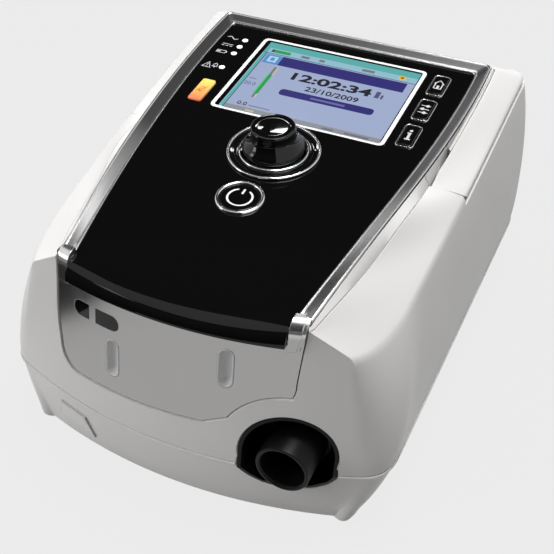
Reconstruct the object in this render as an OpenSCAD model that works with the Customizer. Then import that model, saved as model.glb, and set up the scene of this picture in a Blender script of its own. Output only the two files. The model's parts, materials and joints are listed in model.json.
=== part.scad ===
// Non-invasive ventilator for the bedside, with a carry handle, a control panel and a 22 mm air outlet.
// Millimetres. Origin at the middle of the footprint on the table, +Z up, the front faces -Y.

/* [Case] */
// Half width of the case at the seam between its two halves
seam_half = 85; // [83:0.5:87]
// Distance from the origin to the front face at the seam
front_reach = 117; // [115:0.5:119]
// Distance from the origin to the rear wall at the seam
rear_reach = 116; // [114:0.2:118]
// Height of the seam in the middle of the case
seam_height = 28.6; // [27:0.2:31]
// Angle by which the seam falls towards the rear
seam_tilt = 0.7; // [0:0.1:1.2]
// Radius of the bowed front face in plan
front_bow_r = 178.6; // [160:1:260]
// Angle by which the front face leans back
front_lean = 7.9; // [6:0.1:9]
// Angle by which the face of the lower case runs in below the seam
lower_lean = 11; // [8:0.5:13]
// Half width of the footprint
foot_half = 73; // [70:0.5:76]
// Height of the underside above the table
base_height = 1.5; // [1:0.1:2]
// Wall of the two case halves
wall = 2.5; // [2:0.1:3]
// Half widths of the side edge at the four stations, front to rear
crease_half = [74.1, 77.5, 79, 79.5]; // [70:0.1:82]
// Heights of the side edge at the four stations, front to rear
crease_height = [77, 89.3, 99.4, 107.4]; // [70:0.1:112]
// Half widths of the rim at the four stations, front to rear
rim_half = [50.6, 59, 65.1, 65.8]; // [45:0.1:70]
// Bulge of the rear wall beyond a straight wall
rear_bulge = 9.5; // [6:0.5:11]
// Bulge of the side walls at the rear beyond a straight wall
side_bulge = 2.2; // [0:0.1:3]

/* [Panel] */
// Height of the panel's plane above the origin
panel_height = 108; // [106:0.1:110]
// Slope of the panel
panel_tilt = 5.04; // [4:0.1:6]
// Place along the case where the panel starts to bend down
bend_y = -29.4; // [-40:0.5:-20]
// Radius of that bend
bend_r = 780; // [700:5:900]
// Radius of the same bend in the rim, which ends level with the panel at the front
rim_bend_r = 444; // [420:2:500]
// Thickness of the panel
panel_t = 2.5; // [2:0.1:3]
// Depth of the panel below the rim's outer edge
rim_step = 2.5; // [2:0.1:3]
// Width of the silver band between the rim's edge and the panel
band_w = 5.7; // [5.6:0.1:6]
// Half width of the visor over the front edge
visor_half = 44.4; // [40:0.2:46]
// Height of the visor's lower edge
visor_low = 87; // [86:0.2:89]
// How far the visor stands out from the case's front face
visor_out = 4.2; // [3.8:0.1:4.6]
// Width of the display window
window_w = 81; // [76:0.5:84]
// Length of the display window up the panel
window_l = 61; // [56:0.5:63]
// Place of the display window's middle
window_y = 34.8; // [33:0.2:36]
// Thickness of the display window
window_t = 1.6; // [1:0.1:2]
// Corner radius of the display window
window_r = 3; // [1:0.5:5]
// Width of a key
key_w = 6.3; // [5.6:0.1:7.4]
// Length of a key
key_l = 14.6; // [13.6:0.1:15.4]
// Length of the mute key
mute_key_l = 16.4; // [14:0.1:17]
// Corner radius of a key
key_r = 1.2; // [0.6:0.1:2]
// Places of the three menu keys up the panel
menu_key_y = [15, 35.4, 55.8]; // [10:0.2:60]
// Distance of the menu keys from the middle
menu_key_x = 48.1; // [47:0.1:49]
// Distance of the mute key and the lights from the middle
left_row_x = 48.4; // [47:0.1:49]
// Place of the mute key up the panel
mute_key_y = 13.7; // [12:0.1:16]
// Places of the indicator lights up the panel
light_y = [33.9, 46.6, 52.8, 59]; // [30:0.1:62]
// Radius of an indicator light
light_r = 1.35; // [1:0.05:1.6]
// Travel of the keys
key_travel = 0.6; // [0.4:0.1:0.8]
// Height of the keys above the panel
key_proud = 0.8; // [0.4:0.1:1.2]

/* [Dial and standby button] */
// Place of the dial up the panel
dial_y = -16; // [-18:0.2:-15]
// Outer radius of the dial ring
dial_ring_r = 19.7; // [18:0.1:21]
// Radius of the dial knob at its foot
knob_foot_r = 13; // [11:0.1:14]
// Radius of the dial knob's cap
knob_cap_r = 9.4; // [8:0.1:10]
// Height of the dial knob above the panel
knob_h = 12.7; // [12:0.1:13.5]
// Radius of the dial's shaft
shaft_r = 3; // [2.5:0.1:3.5]
// Travel of the dial when it is pushed
dial_travel = 0.7; // [0.4:0.1:1]
// Place of the standby button up the panel
standby_y = -48.7; // [-50:0.2:-47]
// Outer radius of the standby button's ring
standby_ring_r = 9.9; // [9:0.1:10.5]
// Radius of the standby button
standby_r = 8.2; // [7.6:0.1:8.4]

/* [Front plate and outlet] */
// Half width of the front plate at the visor
plate_half = 52.5; // [51:0.1:54]
// Height of the front plate's lower edge
plate_low = 45; // [43:0.5:47]
// Depth of the front plate behind the case's face
plate_step = 0.3; // [0.2:0.1:0.5]
// Thickness of the front plate
plate_t = 2.2; // [1.8:0.1:2.6]
// Distance of the outlet's axis from the middle
outlet_x = 48; // [46:0.2:50]
// Height of the outlet's axis
outlet_z = 35; // [34:0.2:36]
// Outer radius of the outlet connector
outlet_r = 11; // [10.5:0.05:11.5]
// Bore radius of the outlet connector
outlet_bore_r = 9; // [8:0.1:9.5]
// How far the outlet connector reaches beyond the origin
outlet_reach = 114.4; // [112:0.2:116]
// Half width of the black recess round the outlet
recess_half = 18.5; // [18:0.1:19.5]
// Depth of the recess, from the origin to its rear wall's face
recess_back = 92; // [90:0.5:94]
// Wall of the recess housing
recess_wall = 1.4; // [1:0.1:2]
// Width of a hook slot in the front plate
slot_w = 4.8; // [4.4:0.1:5.4]
// Length of a hook slot
slot_l = 15.5; // [14:0.5:18]
// Depth of a hook slot
slot_d = 6; // [5:0.5:7]
// Places of the two hook slots: distance from the middle and height of the middle
slot_left = [-25, 60.5]; // [-30:0.1:80]
// Place of the right hook slot
slot_right = [22.8, 72.8]; // [20:0.1:80]

/* [Handle] */
// Place where the handle's arms begin
handle_y = -0.4; // [-2:0.1:2]
// Depth of the groove under the side edge
groove = 3.2; // [2.8:0.1:3.6]
// Thickness of the handle's outer edge
handle_edge = 1.2; // [1:0.1:1.4]
// Distance of the pivot from the arm's end
pivot_back = 5; // [4:0.1:5.2]
// Height of the pivot
pivot_height = 99.5; // [99:0.1:100]
// Radius of a handle pin
pin_r = 2; // [1.8:0.05:2.1]
// Length of a handle pin
pin_l = 9; // [8:0.1:9.5]

/* [Inside] */
// Height of the chassis tray's underside
tray_z = 12; // [10:0.5:13]
// Thickness of the tray
tray_t = 2; // [1.6:0.1:2.4]
// Half width of the tray
tray_half = 72; // [70:0.5:73]
// Place of the blower's axis
blower_at = [22, -26]; // [-30:0.5:30]
// Outer radius of the blower housing
blower_r = 37; // [36:0.1:38]
// Height of each half of the blower housing
blower_h = 18; // [17:0.1:19]
// Radius of the impeller
impeller_r = 26; // [22:0.5:28]
// Radius of the motor's shaft
motor_shaft_r = 2.5; // [2:0.1:3]
// Size of the battery pack
battery = [36, 72, 32]; // [20:1:80]
// Size of the power supply
supply = [60, 68, 30]; // [20:1:80]
// Length and width of the inlet muffler
muffler = [54, 54]; // [40:1:56]
// Height of the main board's underside
board_z = 62.5; // [62:0.1:64]
// Thickness of the boards
board_t = 1.6; // [1:0.1:2]

/* [Rear] */
// Half width of the rear panel
rear_panel_half = 64; // [62:0.5:66]
// Height of the rear panel's lower edge
rear_panel_low = 34; // [33:0.5:36]
// Height of the rear panel
rear_panel_h = 38; // [36:0.5:39]
// Depth of the rear panel's face behind the rear wall's reach
rear_panel_depth = 7; // [6:0.2:9]
// Thickness of the rear panel
rear_panel_t = 2.5; // [2:0.1:3]
// Height of the sockets on the rear panel
socket_z = 53; // [51:0.5:55]
// Bore radius of the data and power jacks
jack_bore_r = 2.75; // [2.5:0.05:3]
// Outer radius of the oxygen inlet's spigot
oxygen_r = 3; // [2.5:0.1:3.5]

/* [Fits] */
// Gap round a piece that is set into another
set_gap = 0.2; // [0.1:0.05:0.3]
// Gap round a key or button that moves
move_gap = 0.25; // [0.2:0.05:0.3]
// Gap round a shaft or pin that turns, on the radius
run_gap = 0.05; // [0.03:0.01:0.1]
// Gap between the two case halves at the seam
seam_gap = 0.3; // [0.2:0.1:0.5]
// Gap under the handle
handle_gap = 0.4; // [0.3:0.05:0.5]

/* [Hidden] */
$fn = 48;
cut = 1;
stations = [17 - front_reach, -40, 20, rear_reach - 36];
strip_steps = [[-100, 2.5], [-62, 9], [-37, 8], [-7, 7], [3, 5], [23, 1.8], [80, 1.5]];
taper_steps = [[0, 0], [0.17, 0.17], [0.38, 0.47], [0.52, 0.63], [0.77, 0.86], [1, 1]];
bow = 1 / (2 * front_bow_r);
lean = tan(front_lean);
slope = tan(panel_tilt);
fold_z = 95;
crease_rear_y = rear_reach - 19.9;
rim_rear_y = rear_reach - 38.9;
front_steps = 6;
corner_steps = 5;
side_steps = 9;
rear_steps = 5;
back_steps = 4;
seam_inset = 0.8;
strip_out = 1.4;
rim_wall_in = 1;
board_drop = 8.2;
key_flange = 0.9;
key_flange_t = 1.2;
key_depth = panel_t + 0.1 + key_flange_t;
spring_h = board_drop - key_depth - key_travel - 0.3;
peg_at = [[52, -48], [-52, -48], [52, 33.5], [-52, 33.5]];
battery_at = [-64, -82];
supply_at = [0, 22];
muffler_at = [-61, 0];
tray_top = tray_z + tray_t;
blower_z = outlet_z - blower_h;
blower_top = outlet_z + blower_h;
damper_h = blower_z - tray_top;
muffler_h = blower_top - tray_top;
stub_y = -62;
sensor_y = -76;
screw_at = [[66, -84], [-66, -84], [68, 97], [-68, 97]];
tray_post_at = [[60, -64], [-66, -70], [64, 16], [-66, 58], [64, 84], [-64, 84]];
spacer_at = [[69, -72], [-69, -72], [69, 4], [-69, 4], [69, 80], [-69, 80]];
stem_at = [-48, 15.4];
stem_r = 2.5;
stem_y = 20 - front_reach;
foot_at = [[52, -84], [-52, -84], [56, 88], [-56, 88]];
rear_panel_y = rear_reach - rear_panel_depth;
inlet_at = [-46, socket_z];
switch_at = [-21, socket_z];
dc_at = [-4, socket_z];
data_at = [12, socket_z];
oxygen_at = [27, socket_z];
rocker_y = rear_panel_y - 5;
rocker_pin_r = 1.5;
fan_at = [47, socket_z];
fan_size = 30;
fan_t = 8;
filter_y = [12, 48];
filter_z = [38, 58];
filter_tilt = 4.2;
filter_half = 84.6;

// Value at y of the smooth curve through four values at the four stations
function curve4(v, y) = let (s = stations)
    v[0] * (y - s[1]) * (y - s[2]) * (y - s[3]) / ((s[0] - s[1]) * (s[0] - s[2]) * (s[0] - s[3]))
    + v[1] * (y - s[0]) * (y - s[2]) * (y - s[3]) / ((s[1] - s[0]) * (s[1] - s[2]) * (s[1] - s[3]))
    + v[2] * (y - s[0]) * (y - s[1]) * (y - s[3]) / ((s[2] - s[0]) * (s[2] - s[1]) * (s[2] - s[3]))
    + v[3] * (y - s[0]) * (y - s[1]) * (y - s[2]) / ((s[3] - s[0]) * (s[3] - s[1]) * (s[3] - s[2]));

// Heights and widths of the case's main lines
function seam_z(y) = seam_height - tan(seam_tilt) * y;
function panel_z(y) = panel_height + slope * y - pow(max(0, bend_y - y), 2) / (2 * bend_r);
function panel_angle(y) = atan(slope + max(0, bend_y - y) / bend_r);
function rim_z(y) = panel_height + rim_step + slope * y - pow(max(0, bend_y - y), 2) / (2 * rim_bend_r);
function rim_x(y) = curve4(rim_half, y);
function crease_x(y) = curve4(crease_half, min(y, 80));
function crease_z(y) = curve4(crease_height, min(y, 90));
function ledge_z(y) = crease_z(y) - groove;
function front_y(x, z) = (z - seam_height) * lean + bow * x * x - front_reach;

// Points on a line and on a corner curve
function between(a, b, t) = a + (b - a) * t;
function corner(a, b, c, t) = a * (1 - t) * (1 - t) + 2 * b * t * (1 - t) + c * t * t;
function steps(n) = [for (i = [0 : n - 1]) i / n];

// The left half of a loop, from the rear to the front, mirrors the right half
function mirrored(half) = [for (i = [len(half) - 2 : -1 : 1]) [-half[i].x, half[i].y, half[i].z]];
function whole(half) = concat(half, mirrored(half));

// Right half of the seam loop, moved in by d and shifted in height by dz
function seam_half_loop(d, dz) = let (
    w = seam_half - d,
    turn_x = seam_half - 10 - d,
    side_y = 31.6 - front_reach,
    rear_y = rear_reach - 26.4,
    rear_x = seam_half - 23,
    f = function (x) front_y(x, seam_height) + d,
    r = rear_reach - d,
    a = [turn_x, f(turn_x), seam_z(f(turn_x)) + dz],
    b = [w - 0.3, f(w) - 0.8, seam_z(f(w)) + dz],
    c = [w, side_y, seam_z(side_y) + dz],
    e = [w, rear_y, seam_z(rear_y) + dz],
    g = [w, r - 6, seam_z(r) + dz],
    h = [rear_x, r - 3, seam_z(r) + dz]
) concat(
    [for (t = steps(front_steps)) [turn_x * t, f(turn_x * t), seam_z(f(turn_x * t)) + dz]],
    [for (t = steps(corner_steps)) corner(a, b, c, t)],
    [for (t = steps(side_steps)) [w, between(side_y, rear_y, t), seam_z(between(side_y, rear_y, t)) + dz]],
    [for (t = steps(rear_steps)) corner(e, g, h, t)],
    [for (i = [0 : back_steps]) let (x = rear_x * (1 - i / back_steps))
        [x, r - 3 * pow(x / rear_x, 2), seam_z(r) + dz]]
);

// Right half of the loop along the side edge, moved in by d and down by dz
function crease_half_loop(d, dz) = let (
    turn_x = 67 - d,
    facet_x = 53,
    side_y = 50.6 - front_reach,
    rear_y = rear_reach - 29.4,
    rear_x = 71 - d,
    r = crease_rear_y - d,
    top = fold_z - 2.5,
    zf = function (x) top - 0.62 * max(0, x + d - facet_x) - dz,
    f = function (x) front_y(x, zf(x) + dz) + d,
    a = [turn_x, f(turn_x), zf(turn_x)],
    b = [73.6 - d, 29.6 - front_reach + d, 80.2 - dz],
    c = [crease_x(side_y) - d, side_y, crease_z(side_y) - dz],
    e = [crease_x(rear_y) - d, rear_y - d, crease_z(rear_y) - dz],
    g = [crease_x(rear_y) - d, r, 109 - dz],
    h = [rear_x, r, 107.5 - dz]
) concat(
    [for (t = steps(front_steps)) [turn_x * t, f(turn_x * t), zf(turn_x * t)]],
    [for (t = steps(corner_steps)) corner(a, b, c, t)],
    [for (t = steps(side_steps)) let (y = between(side_y, rear_y - d, t)) [crease_x(y) - d, y, crease_z(y) - dz]],
    [for (t = steps(rear_steps)) corner(e, g, h, t)],
    [for (i = [0 : back_steps]) [rear_x * (1 - i / back_steps), r, h.z]]
);

// Right half of the loop along the rim, moved out by d, its height given by a function of y
function rim_half_loop(d, zf) = let (
    turn_x = 50,
    side_y = 18.6 - front_reach,
    rear_y = rim_rear_y - 5.5 + d,
    rear_x = 61 + d,
    r = rim_rear_y + d,
    f = function (x) front_y(x, fold_z),
    a = [turn_x + d, f(turn_x), zf(side_y)],
    c = [rim_x(side_y) + d, side_y, zf(side_y)],
    e = [rim_x(rear_y) + d, rear_y, zf(rear_y)],
    g = [rim_x(rear_y) + d, r, zf(rim_rear_y)],
    h = [rear_x, r, zf(rim_rear_y)]
) concat(
    [for (t = steps(front_steps)) [a.x * t, f(turn_x * t), zf(side_y)]],
    [for (t = steps(corner_steps)) between(a, c, t)],
    [for (t = steps(side_steps)) let (y = between(side_y, rear_y, t)) [rim_x(y) + d, y, zf(y)]],
    [for (t = steps(rear_steps)) corner(e, g, h, t)],
    [for (i = [0 : back_steps]) [rear_x * (1 - i / back_steps), r, zf(rim_rear_y)]]
);

// Right half of the footprint, moved in by d, at height z
function foot_half_loop(d, z) = let (
    w = foot_half - d,
    turn_x = 62 - d,
    side_y = 29 - front_reach,
    rear_y = rear_reach - 28,
    rear_x = 58 - d,
    r = rear_reach - 9 - d,
    f = function (x) 5.8 - front_reach + d + 0.86 * bow * x * x,
    a = [turn_x, f(turn_x), z],
    b = [w, 18 - front_reach, z],
    c = [w, side_y, z],
    e = [w, rear_y, z],
    g = [w, r, z],
    h = [rear_x, r, z]
) concat(
    [for (t = steps(front_steps)) [turn_x * t, f(turn_x * t), z]],
    [for (t = steps(corner_steps)) corner(a, b, c, t)],
    [for (t = steps(side_steps)) [w, between(side_y, rear_y, t), z]],
    [for (t = steps(rear_steps)) corner(e, g, h, t)],
    [for (i = [0 : back_steps]) [rear_x * (1 - i / back_steps), r, z]]
);

// Outward bulge of the upper case's wall half way up, for a point of the seam loop
function wall_bulge(p) = let (
    side = min(1, max(0, (p.x - 70) / 12)),
    front_corner = 2.6 * exp(-pow((p.y + front_reach - 26.6) / 14, 2)) * min(1, max(0, (p.x - 60) / 20))
) [
    side * between(0.9, side_bulge, (p.y + 100) / 200) + front_corner,
    p.y > 58 ? rear_bulge * min(1, max(0, (p.y + 33.4 - rear_reach) / 28)) : 0,
    0
];

// Loop of the upper wall at fraction v of the way from the seam to the side edge
function wall_half_loop(v, d) = let (
    low = seam_half_loop(d, 0),
    full = seam_half_loop(0, 0),
    high = crease_half_loop(d, 0)
) [for (i = [0 : len(low) - 1]) between(low[i], high[i], v) + wall_bulge(full[i]) * 4 * v * (1 - v)];

// Loop of the lower wall at fraction v of the way from the footprint to the seam
function tub_half_loop(v, d) = let (
    low = foot_half_loop(d, 0),
    high = seam_half_loop(d + seam_inset, 0),
    k = lookup(v, taper_steps)
) [for (i = [0 : len(low) - 1]) [
    between(low[i].x, high[i].x, k),
    between(low[i].y, high[i].y, k),
    between(base_height, high[i].z, v)
]];

// Solid through closed loops that run anticlockwise and upwards, closed by a fan at each end
module loft(loops) {
    n = len(loops[0]);
    m = len(loops);
    middle = function (loop) [for (k = [0 : 2]) [for (p = loop) p[k]] * [for (p = loop) 1] / n];
    points = concat([for (loop = loops) each loop], [middle(loops[0]), middle(loops[m - 1])]);
    sides = [for (i = [0 : m - 2], j = [0 : n - 1]) let (k = (j + 1) % n)
        each [[i * n + j, i * n + n + j, i * n + n + k], [i * n + j, i * n + n + k, i * n + k]]];
    bottom = [for (j = [0 : n - 1]) [m * n, j, (j + 1) % n]];
    top = [for (j = [0 : n - 1]) [m * n + 1, (m - 1) * n + (j + 1) % n, (m - 1) * n + j]];
    polyhedron(points, concat(sides, bottom, top));
}

// Solid through rails that run side by side, clockwise as seen along their way, with flat ends
module band(rails) {
    n = len(rails[0]);
    m = len(rails);
    points = [for (rail = rails) each rail];
    sides = [for (i = [0 : n - 2], j = [0 : m - 1]) let (k = (j + 1) % m)
        each [[j * n + i, j * n + i + 1, k * n + i + 1], [j * n + i, k * n + i + 1, k * n + i]]];
    first = [for (j = [1 : m - 2]) [0, j * n, (j + 1) * n]];
    last = [for (j = [1 : m - 2]) [n - 1, (j + 1) * n + n - 1, j * n + n - 1]];
    polyhedron(points, concat(sides, first, last));
}

// Rail on both sides and round the rear, from the part of a half loop that lies behind y
function rail(half, y) = let (
    first = front_steps,
    turn = front_steps + corner_steps + side_steps,
    side = [for (i = [first : turn]) half[i]],
    at = function (y, k) lookup(y, [for (p = side) [p.y, p[k]]]),
    right = concat(
        [for (t = steps(side_steps)) let (v = between(y, half[turn].y, t)) [at(v, 0), v, at(v, 2)]],
        [for (i = [turn : len(half) - 1]) half[i]]
    )
) concat(right, mirrored(right), [[-right[0].x, right[0].y, right[0].z]]);

// Turned and moved onto the panel at a place up its slope
module on_panel(x, y) {
    translate([x, y, panel_z(y)]) rotate([panel_angle(y), 0, 0]) children();
}

// Joins faceted pieces into one mesh, before round holes are cut
module one_mesh() {
    resize([0, 0, 0]) children();
}

module rounded_rect(w, l, r) {
    union() {
        square([w - 2 * r, l], center = true);
        square([w, l - 2 * r], center = true);
        for (sx = [-1, 1], sy = [-1, 1]) translate([sx * (w / 2 - r), sy * (l / 2 - r)]) circle(r);
    }
}

// Solid of everything behind the bowed front face moved out by d
module behind_front(d) {
    translate([0, front_bow_r / cos(front_lean) - front_reach, seam_height]) rotate([-front_lean, 0, 0])
        translate([0, 0, -60]) cylinder(h = 160, r = front_bow_r + d, $fn = 96);
}

module behind_lower_front(d) {
    translate([0, front_bow_r - front_reach, seam_height]) rotate([lower_lean, 0, 0])
        translate([0, 0, -60]) cylinder(h = 160, r = front_bow_r + d, $fn = 96);
}

// Drawn in the XZ plane and given depth along Y, from y to y + depth
module facing_front(y, depth) {
    translate([0, y + depth, 0]) rotate([90, 0, 0]) linear_extrude(depth) children();
}

// Full outer form of the upper case, handle included
module upper_form() {
    loft([
        whole(seam_half_loop(0, -3)),
        whole(seam_half_loop(0, 0.6)),
        whole(wall_half_loop(0.25, 0)),
        whole(wall_half_loop(0.5, 0)),
        whole(wall_half_loop(0.75, 0)),
        whole(crease_half_loop(0, 0)),
        whole(rim_half_loop(strip_out, function (y) rim_z(y) - lookup(y, strip_steps))),
        whole(rim_half_loop(0.2, function (y) rim_z(y) - 1))
    ]);
}

// Space inside the upper case, open at the seam and inside the rim
module upper_space() {
    loft([
        whole(seam_half_loop(wall, -4.2)),
        whole(wall_half_loop(0.25, wall)),
        whole(wall_half_loop(0.5, wall)),
        whole(wall_half_loop(0.75, wall)),
        whole(crease_half_loop(wall, groove + wall)),
        whole(rim_half_loop(-rim_wall_in, function (y) ledge_z(y) - wall)),
        whole(rim_half_loop(-rim_wall_in, function (y) 140))
    ]);
}

// Block below the upper case's lower edge
module below_seam() {
    translate([0, 0, seam_height + seam_gap / 2]) rotate([-seam_tilt, 0, 0])
        translate([-100, -150, -30]) cube([200, 300, 30]);
}

// Channel that the handle lies in
module handle_channel() {
    inner = rim_half_loop(strip_out + 0.1, function (y) ledge_z(y));
    outer = crease_half_loop(-12, groove);
    up = function (half) [for (p = half) [p.x, p.y, 140]];
    band([rail(inner, handle_y), rail(up(inner), handle_y), rail(up(outer), handle_y), rail(outer, handle_y)]);
}

// Profile of the rounded ends of the handle's arms, turned about the pivot, with room g round it
module arm_end(g) {
    y = handle_y + pivot_back;
    inner_x = rim_x(y) + strip_out + 0.3;
    reach = function (x) norm([pivot_back, max(0, 0.9 * (crease_x(y) - x) + crease_z(y) - pivot_height)]) + g;
    outer_x = crease_x(y) + 0.6;
    for (s = [0, 1]) mirror([s, 0, 0]) translate([0, y, pivot_height]) rotate([90, 0, 90])
        rotate_extrude() polygon([
            [0, inner_x - g], [reach(inner_x), inner_x - g], [reach(inner_x + 3), inner_x + 3],
            [reach(inner_x + 6.5), inner_x + 6.5], [reach(outer_x), outer_x], [0, outer_x]
        ]);
}

// Corner posts of the upper case with a web to the side wall
module upper_posts() {
    for (p = screw_at) translate([p.x, p.y, seam_z(p.y) + seam_gap / 2]) {
        cylinder(h = 26, r = 4.5);
        translate([p.x > 0 ? 0 : -14, -1, 6]) cube([14, 2, 20]);
    }
}

// Outline of the front plate in the XZ plane, grown by g
module plate_outline(g) {
    arc_r = 27.5 - g;
    difference() {
        union() {
            polygon([
                [-plate_half - g, fold_z + 20], [-plate_half - g, 65], [-50.1 - g, 52 - g],
                [-48.7 - g, 48.4 - g], [-44, plate_low - g], [-12, plate_low - g], [20 + g, 47 - g],
                [22.8 + g, 50.6], [48, 50.6], [plate_half - 3.8 + g, 71],
                [plate_half - 3 + g, 81.5], [plate_half - 1.9 + g, fold_z], [plate_half - 1.9 + g, fold_z + 20]
            ]);
        }
        translate([outlet_x, outlet_z + 2]) circle(arc_r, $fn = 96);
        translate([outlet_x, 0]) square([40, outlet_z + 28]);
    }
}

// Outline of the outlet recess in the XZ plane, grown by g
module recess_outline(g) {
    r = recess_half + g;
    arch_z = outlet_z + 2;
    union() {
        translate([outlet_x, arch_z]) circle(r, $fn = 72);
        polygon([
            [outlet_x - r, arch_z], [outlet_x - r, outlet_z - 7 - g / 2], [outlet_x - 14.2 - g / 2, outlet_z - 11.4 - g],
            [outlet_x - 9, outlet_z - 14.6 - g], [outlet_x + 9, outlet_z - 14.6 - g],
            [outlet_x + 15, outlet_z - 11 - g], [outlet_x + r, outlet_z - 7 - g / 2], [outlet_x + r, arch_z]
        ]);
    }
}

// Outline of the rear panel in the XZ plane, grown by g
module rear_outline(g) {
    translate([0, rear_panel_low + rear_panel_h / 2])
        rounded_rect(2 * rear_panel_half + 2 * g, rear_panel_h + 2 * g, 4);
}

// Moved to the filter cover's hinge axis on the left wall, local X out of the wall and Z up along it
module at_filter() {
    translate([-filter_half + 1.4, (filter_y[0] + filter_y[1]) / 2, filter_z[0] - 3])
        rotate([0, filter_tilt, 0]) mirror([1, 0, 0]) children();
}

// Space of the frame round the rear panel, which is a moulding of its own
module frame_space(g) {
    translate([-70 - g, rear_panel_y - 7, 10]) cube([140 + 2 * g, 60, 68 + g]);
}

module upper_case() {
    color("whitesmoke") difference() {
        upper_shell();
        frame_space(seam_gap / 2);
    }
}

// Frame that holds the rear panel and closes the upper case's cut-out at the back
module connector_frame() {
    color("whitesmoke") intersection() {
        upper_shell();
        frame_space(0);
    }
}

module upper_shell() {
    filter_l = filter_y[1] - filter_y[0] + 8;
    filter_h = filter_z[1] - filter_z[0] + 6;
    difference() {
        one_mesh() difference() {
            union() {
                difference() {
                    upper_form();
                    below_seam();
                    upper_space();
                    handle_channel();
                }
                intersection() {
                    upper_posts();
                    upper_form();
                }
            }
            arm_end(handle_gap);
            facing_front(-front_reach - 20, 50) plate_outline(set_gap);
            facing_front(-front_reach - 20, 20 + front_reach - recess_back + recess_wall + set_gap)
                recess_outline(set_gap);
            facing_front(rear_panel_y - 12, 40) rear_outline(set_gap);
            at_filter() translate([-8, -filter_l / 2 - move_gap, -1.2 - move_gap])
                cube([20, filter_l + 2 * move_gap, filter_h + 2 * move_gap]);
        }
        for (s = [-1, 1]) translate([s * (rim_x(5) - rim_wall_in - cut), handle_y + pivot_back, pivot_height])
            rotate([0, s * 90, 0]) cylinder(h = pin_l, r = pin_r + 0.02);
        at_filter() translate([0, -filter_l / 2 - 4, 0]) rotate([-90, 0, 0])
            cylinder(h = filter_l + 8, r = 0.6 + 0.02);
        for (p = screw_at) translate([p.x, p.y, seam_z(p.y) - 2]) cylinder(h = 18, r = 1.4);
    }
}

module lower_case() {
    levels = [0, 0.17, 0.38, 0.6, 0.8, 1];
    outer = [for (v = levels) whole(tub_half_loop(v, 0))];
    low = function (half) [for (p = half) [p.x, p.y, p.z - seam_gap / 2]];
    floor_v = wall / (seam_height - base_height);
    color("whitesmoke") difference() {
        union() {
            difference() {
                loft(concat([for (i = [0 : 4]) outer[i]], [low(outer[5])]));
                loft(concat(
                    [whole(tub_half_loop(floor_v, wall))],
                    [for (v = [0.38, 0.6, 0.8, 1]) whole(tub_half_loop(v, wall))],
                    [[for (p = whole(tub_half_loop(1, wall))) [p.x, p.y, p.z + 5]]]
                ));
            }
            for (p = screw_at) translate([p.x, p.y, base_height])
                cylinder(h = seam_z(p.y) - base_height - seam_gap / 2, r = 4.5);
            for (p = tray_post_at) translate([p.x, p.y, base_height])
                cylinder(h = tray_z - base_height, r = 3.5);
            for (p = foot_at) translate([p.x, p.y, base_height]) cylinder(h = 5, r = 9);
        }
        for (p = foot_at) translate([p.x, p.y, base_height - cut]) cylinder(h = 3 + cut, r = 7.2);
        for (p = screw_at) {
            translate([p.x, p.y, base_height - cut]) cylinder(h = 60, r = 1.7);
            translate([p.x, p.y, base_height - cut]) cylinder(h = 4 + cut, r = 3.2);
        }
        facing_front(-front_reach - 20, 20 + front_reach - recess_back + recess_wall + set_gap)
            recess_outline(set_gap);
        facing_front(-front_reach - 20, 40) release_outline(move_gap);
        for (i = [-3 : 3]) translate([i * 9 - 1.5, -20, base_height - cut]) cube([3, 40, wall + 2 * cut]);
    }
}

// Silver rim and front plate, one moulding
module front_trim() {
    top = rim_half_loop(0, function (y) rim_z(y));
    inner_top = rim_half_loop(-band_w, function (y) panel_z(y) - 0.2);
    inner_low = rim_half_loop(-band_w, function (y) panel_z(y) - panel_t - 0.2);
    outer_low = rim_half_loop(-rim_wall_in - set_gap, function (y) panel_z(y) - panel_t - 0.2);
    outer_seat = rim_half_loop(-rim_wall_in - set_gap, function (y) rim_z(y) - 0.9);
    edge_seat = rim_half_loop(0, function (y) rim_z(y) - 0.9);
    start = front_y(rim_half[0], fold_z) + plate_step + 0.4;
    color("silver") union() {
        band([
            rail(inner_low, start), rail(inner_top, start), rail(top, start),
            rail(edge_seat, start), rail(outer_seat, start), rail(outer_low, start)
        ]);
        difference() {
            intersection() {
                difference() {
                    behind_front(-plate_step);
                    behind_front(-plate_step - plate_t);
                }
                facing_front(-front_reach - 10, 60) difference() {
                    plate_outline(0);
                    translate([-60, fold_z + 1.2]) square([120, 60]);
                    translate([-visor_half - 0.15, visor_low + 2]) square([2 * visor_half + 0.3, 60]);
                }
            }
            facing_front(-front_reach - 10, 60) window_outlines(0.1);
            slots_cut(0);
        }
        slots_body();
    }
}

// Outlines of the two dark windows, grown by g
module window_outlines(g) {
    union() {
        translate([-43.7 + 3.25, 76.25]) circle(3.25 + g);
        translate([-43.7 + 3.25, 76.25 - 3.25 - g]) square([4.15 + g, 6.5 + 2 * g]);
    }
    union() {
        translate([-22 - 3.25, 76.25]) circle(3.25 + g);
        translate([-33 - g, 76.25 - 3.25 - g]) square([7.75 + g, 6.5 + 2 * g]);
    }
}

module slot_outline(g) {
    for (p = [slot_left, slot_right]) translate(p) rounded_rect(slot_w + 2 * g, slot_l + 2 * g, slot_w / 2 + g - 0.01);
}

module slots_cut(g) {
    difference() {
        facing_front(-front_reach - 10, 60) slot_outline(g);
        behind_front(-slot_d + g);
    }
}

// Pockets behind the hook slots
module slots_body() {
    difference() {
        intersection() {
            facing_front(-front_reach - 10, 60) slot_outline(1.4);
            behind_front(-plate_step - 0.1);
        }
        slots_cut(0);
        behind_front(-slot_d - 1.4);
    }
}

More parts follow.
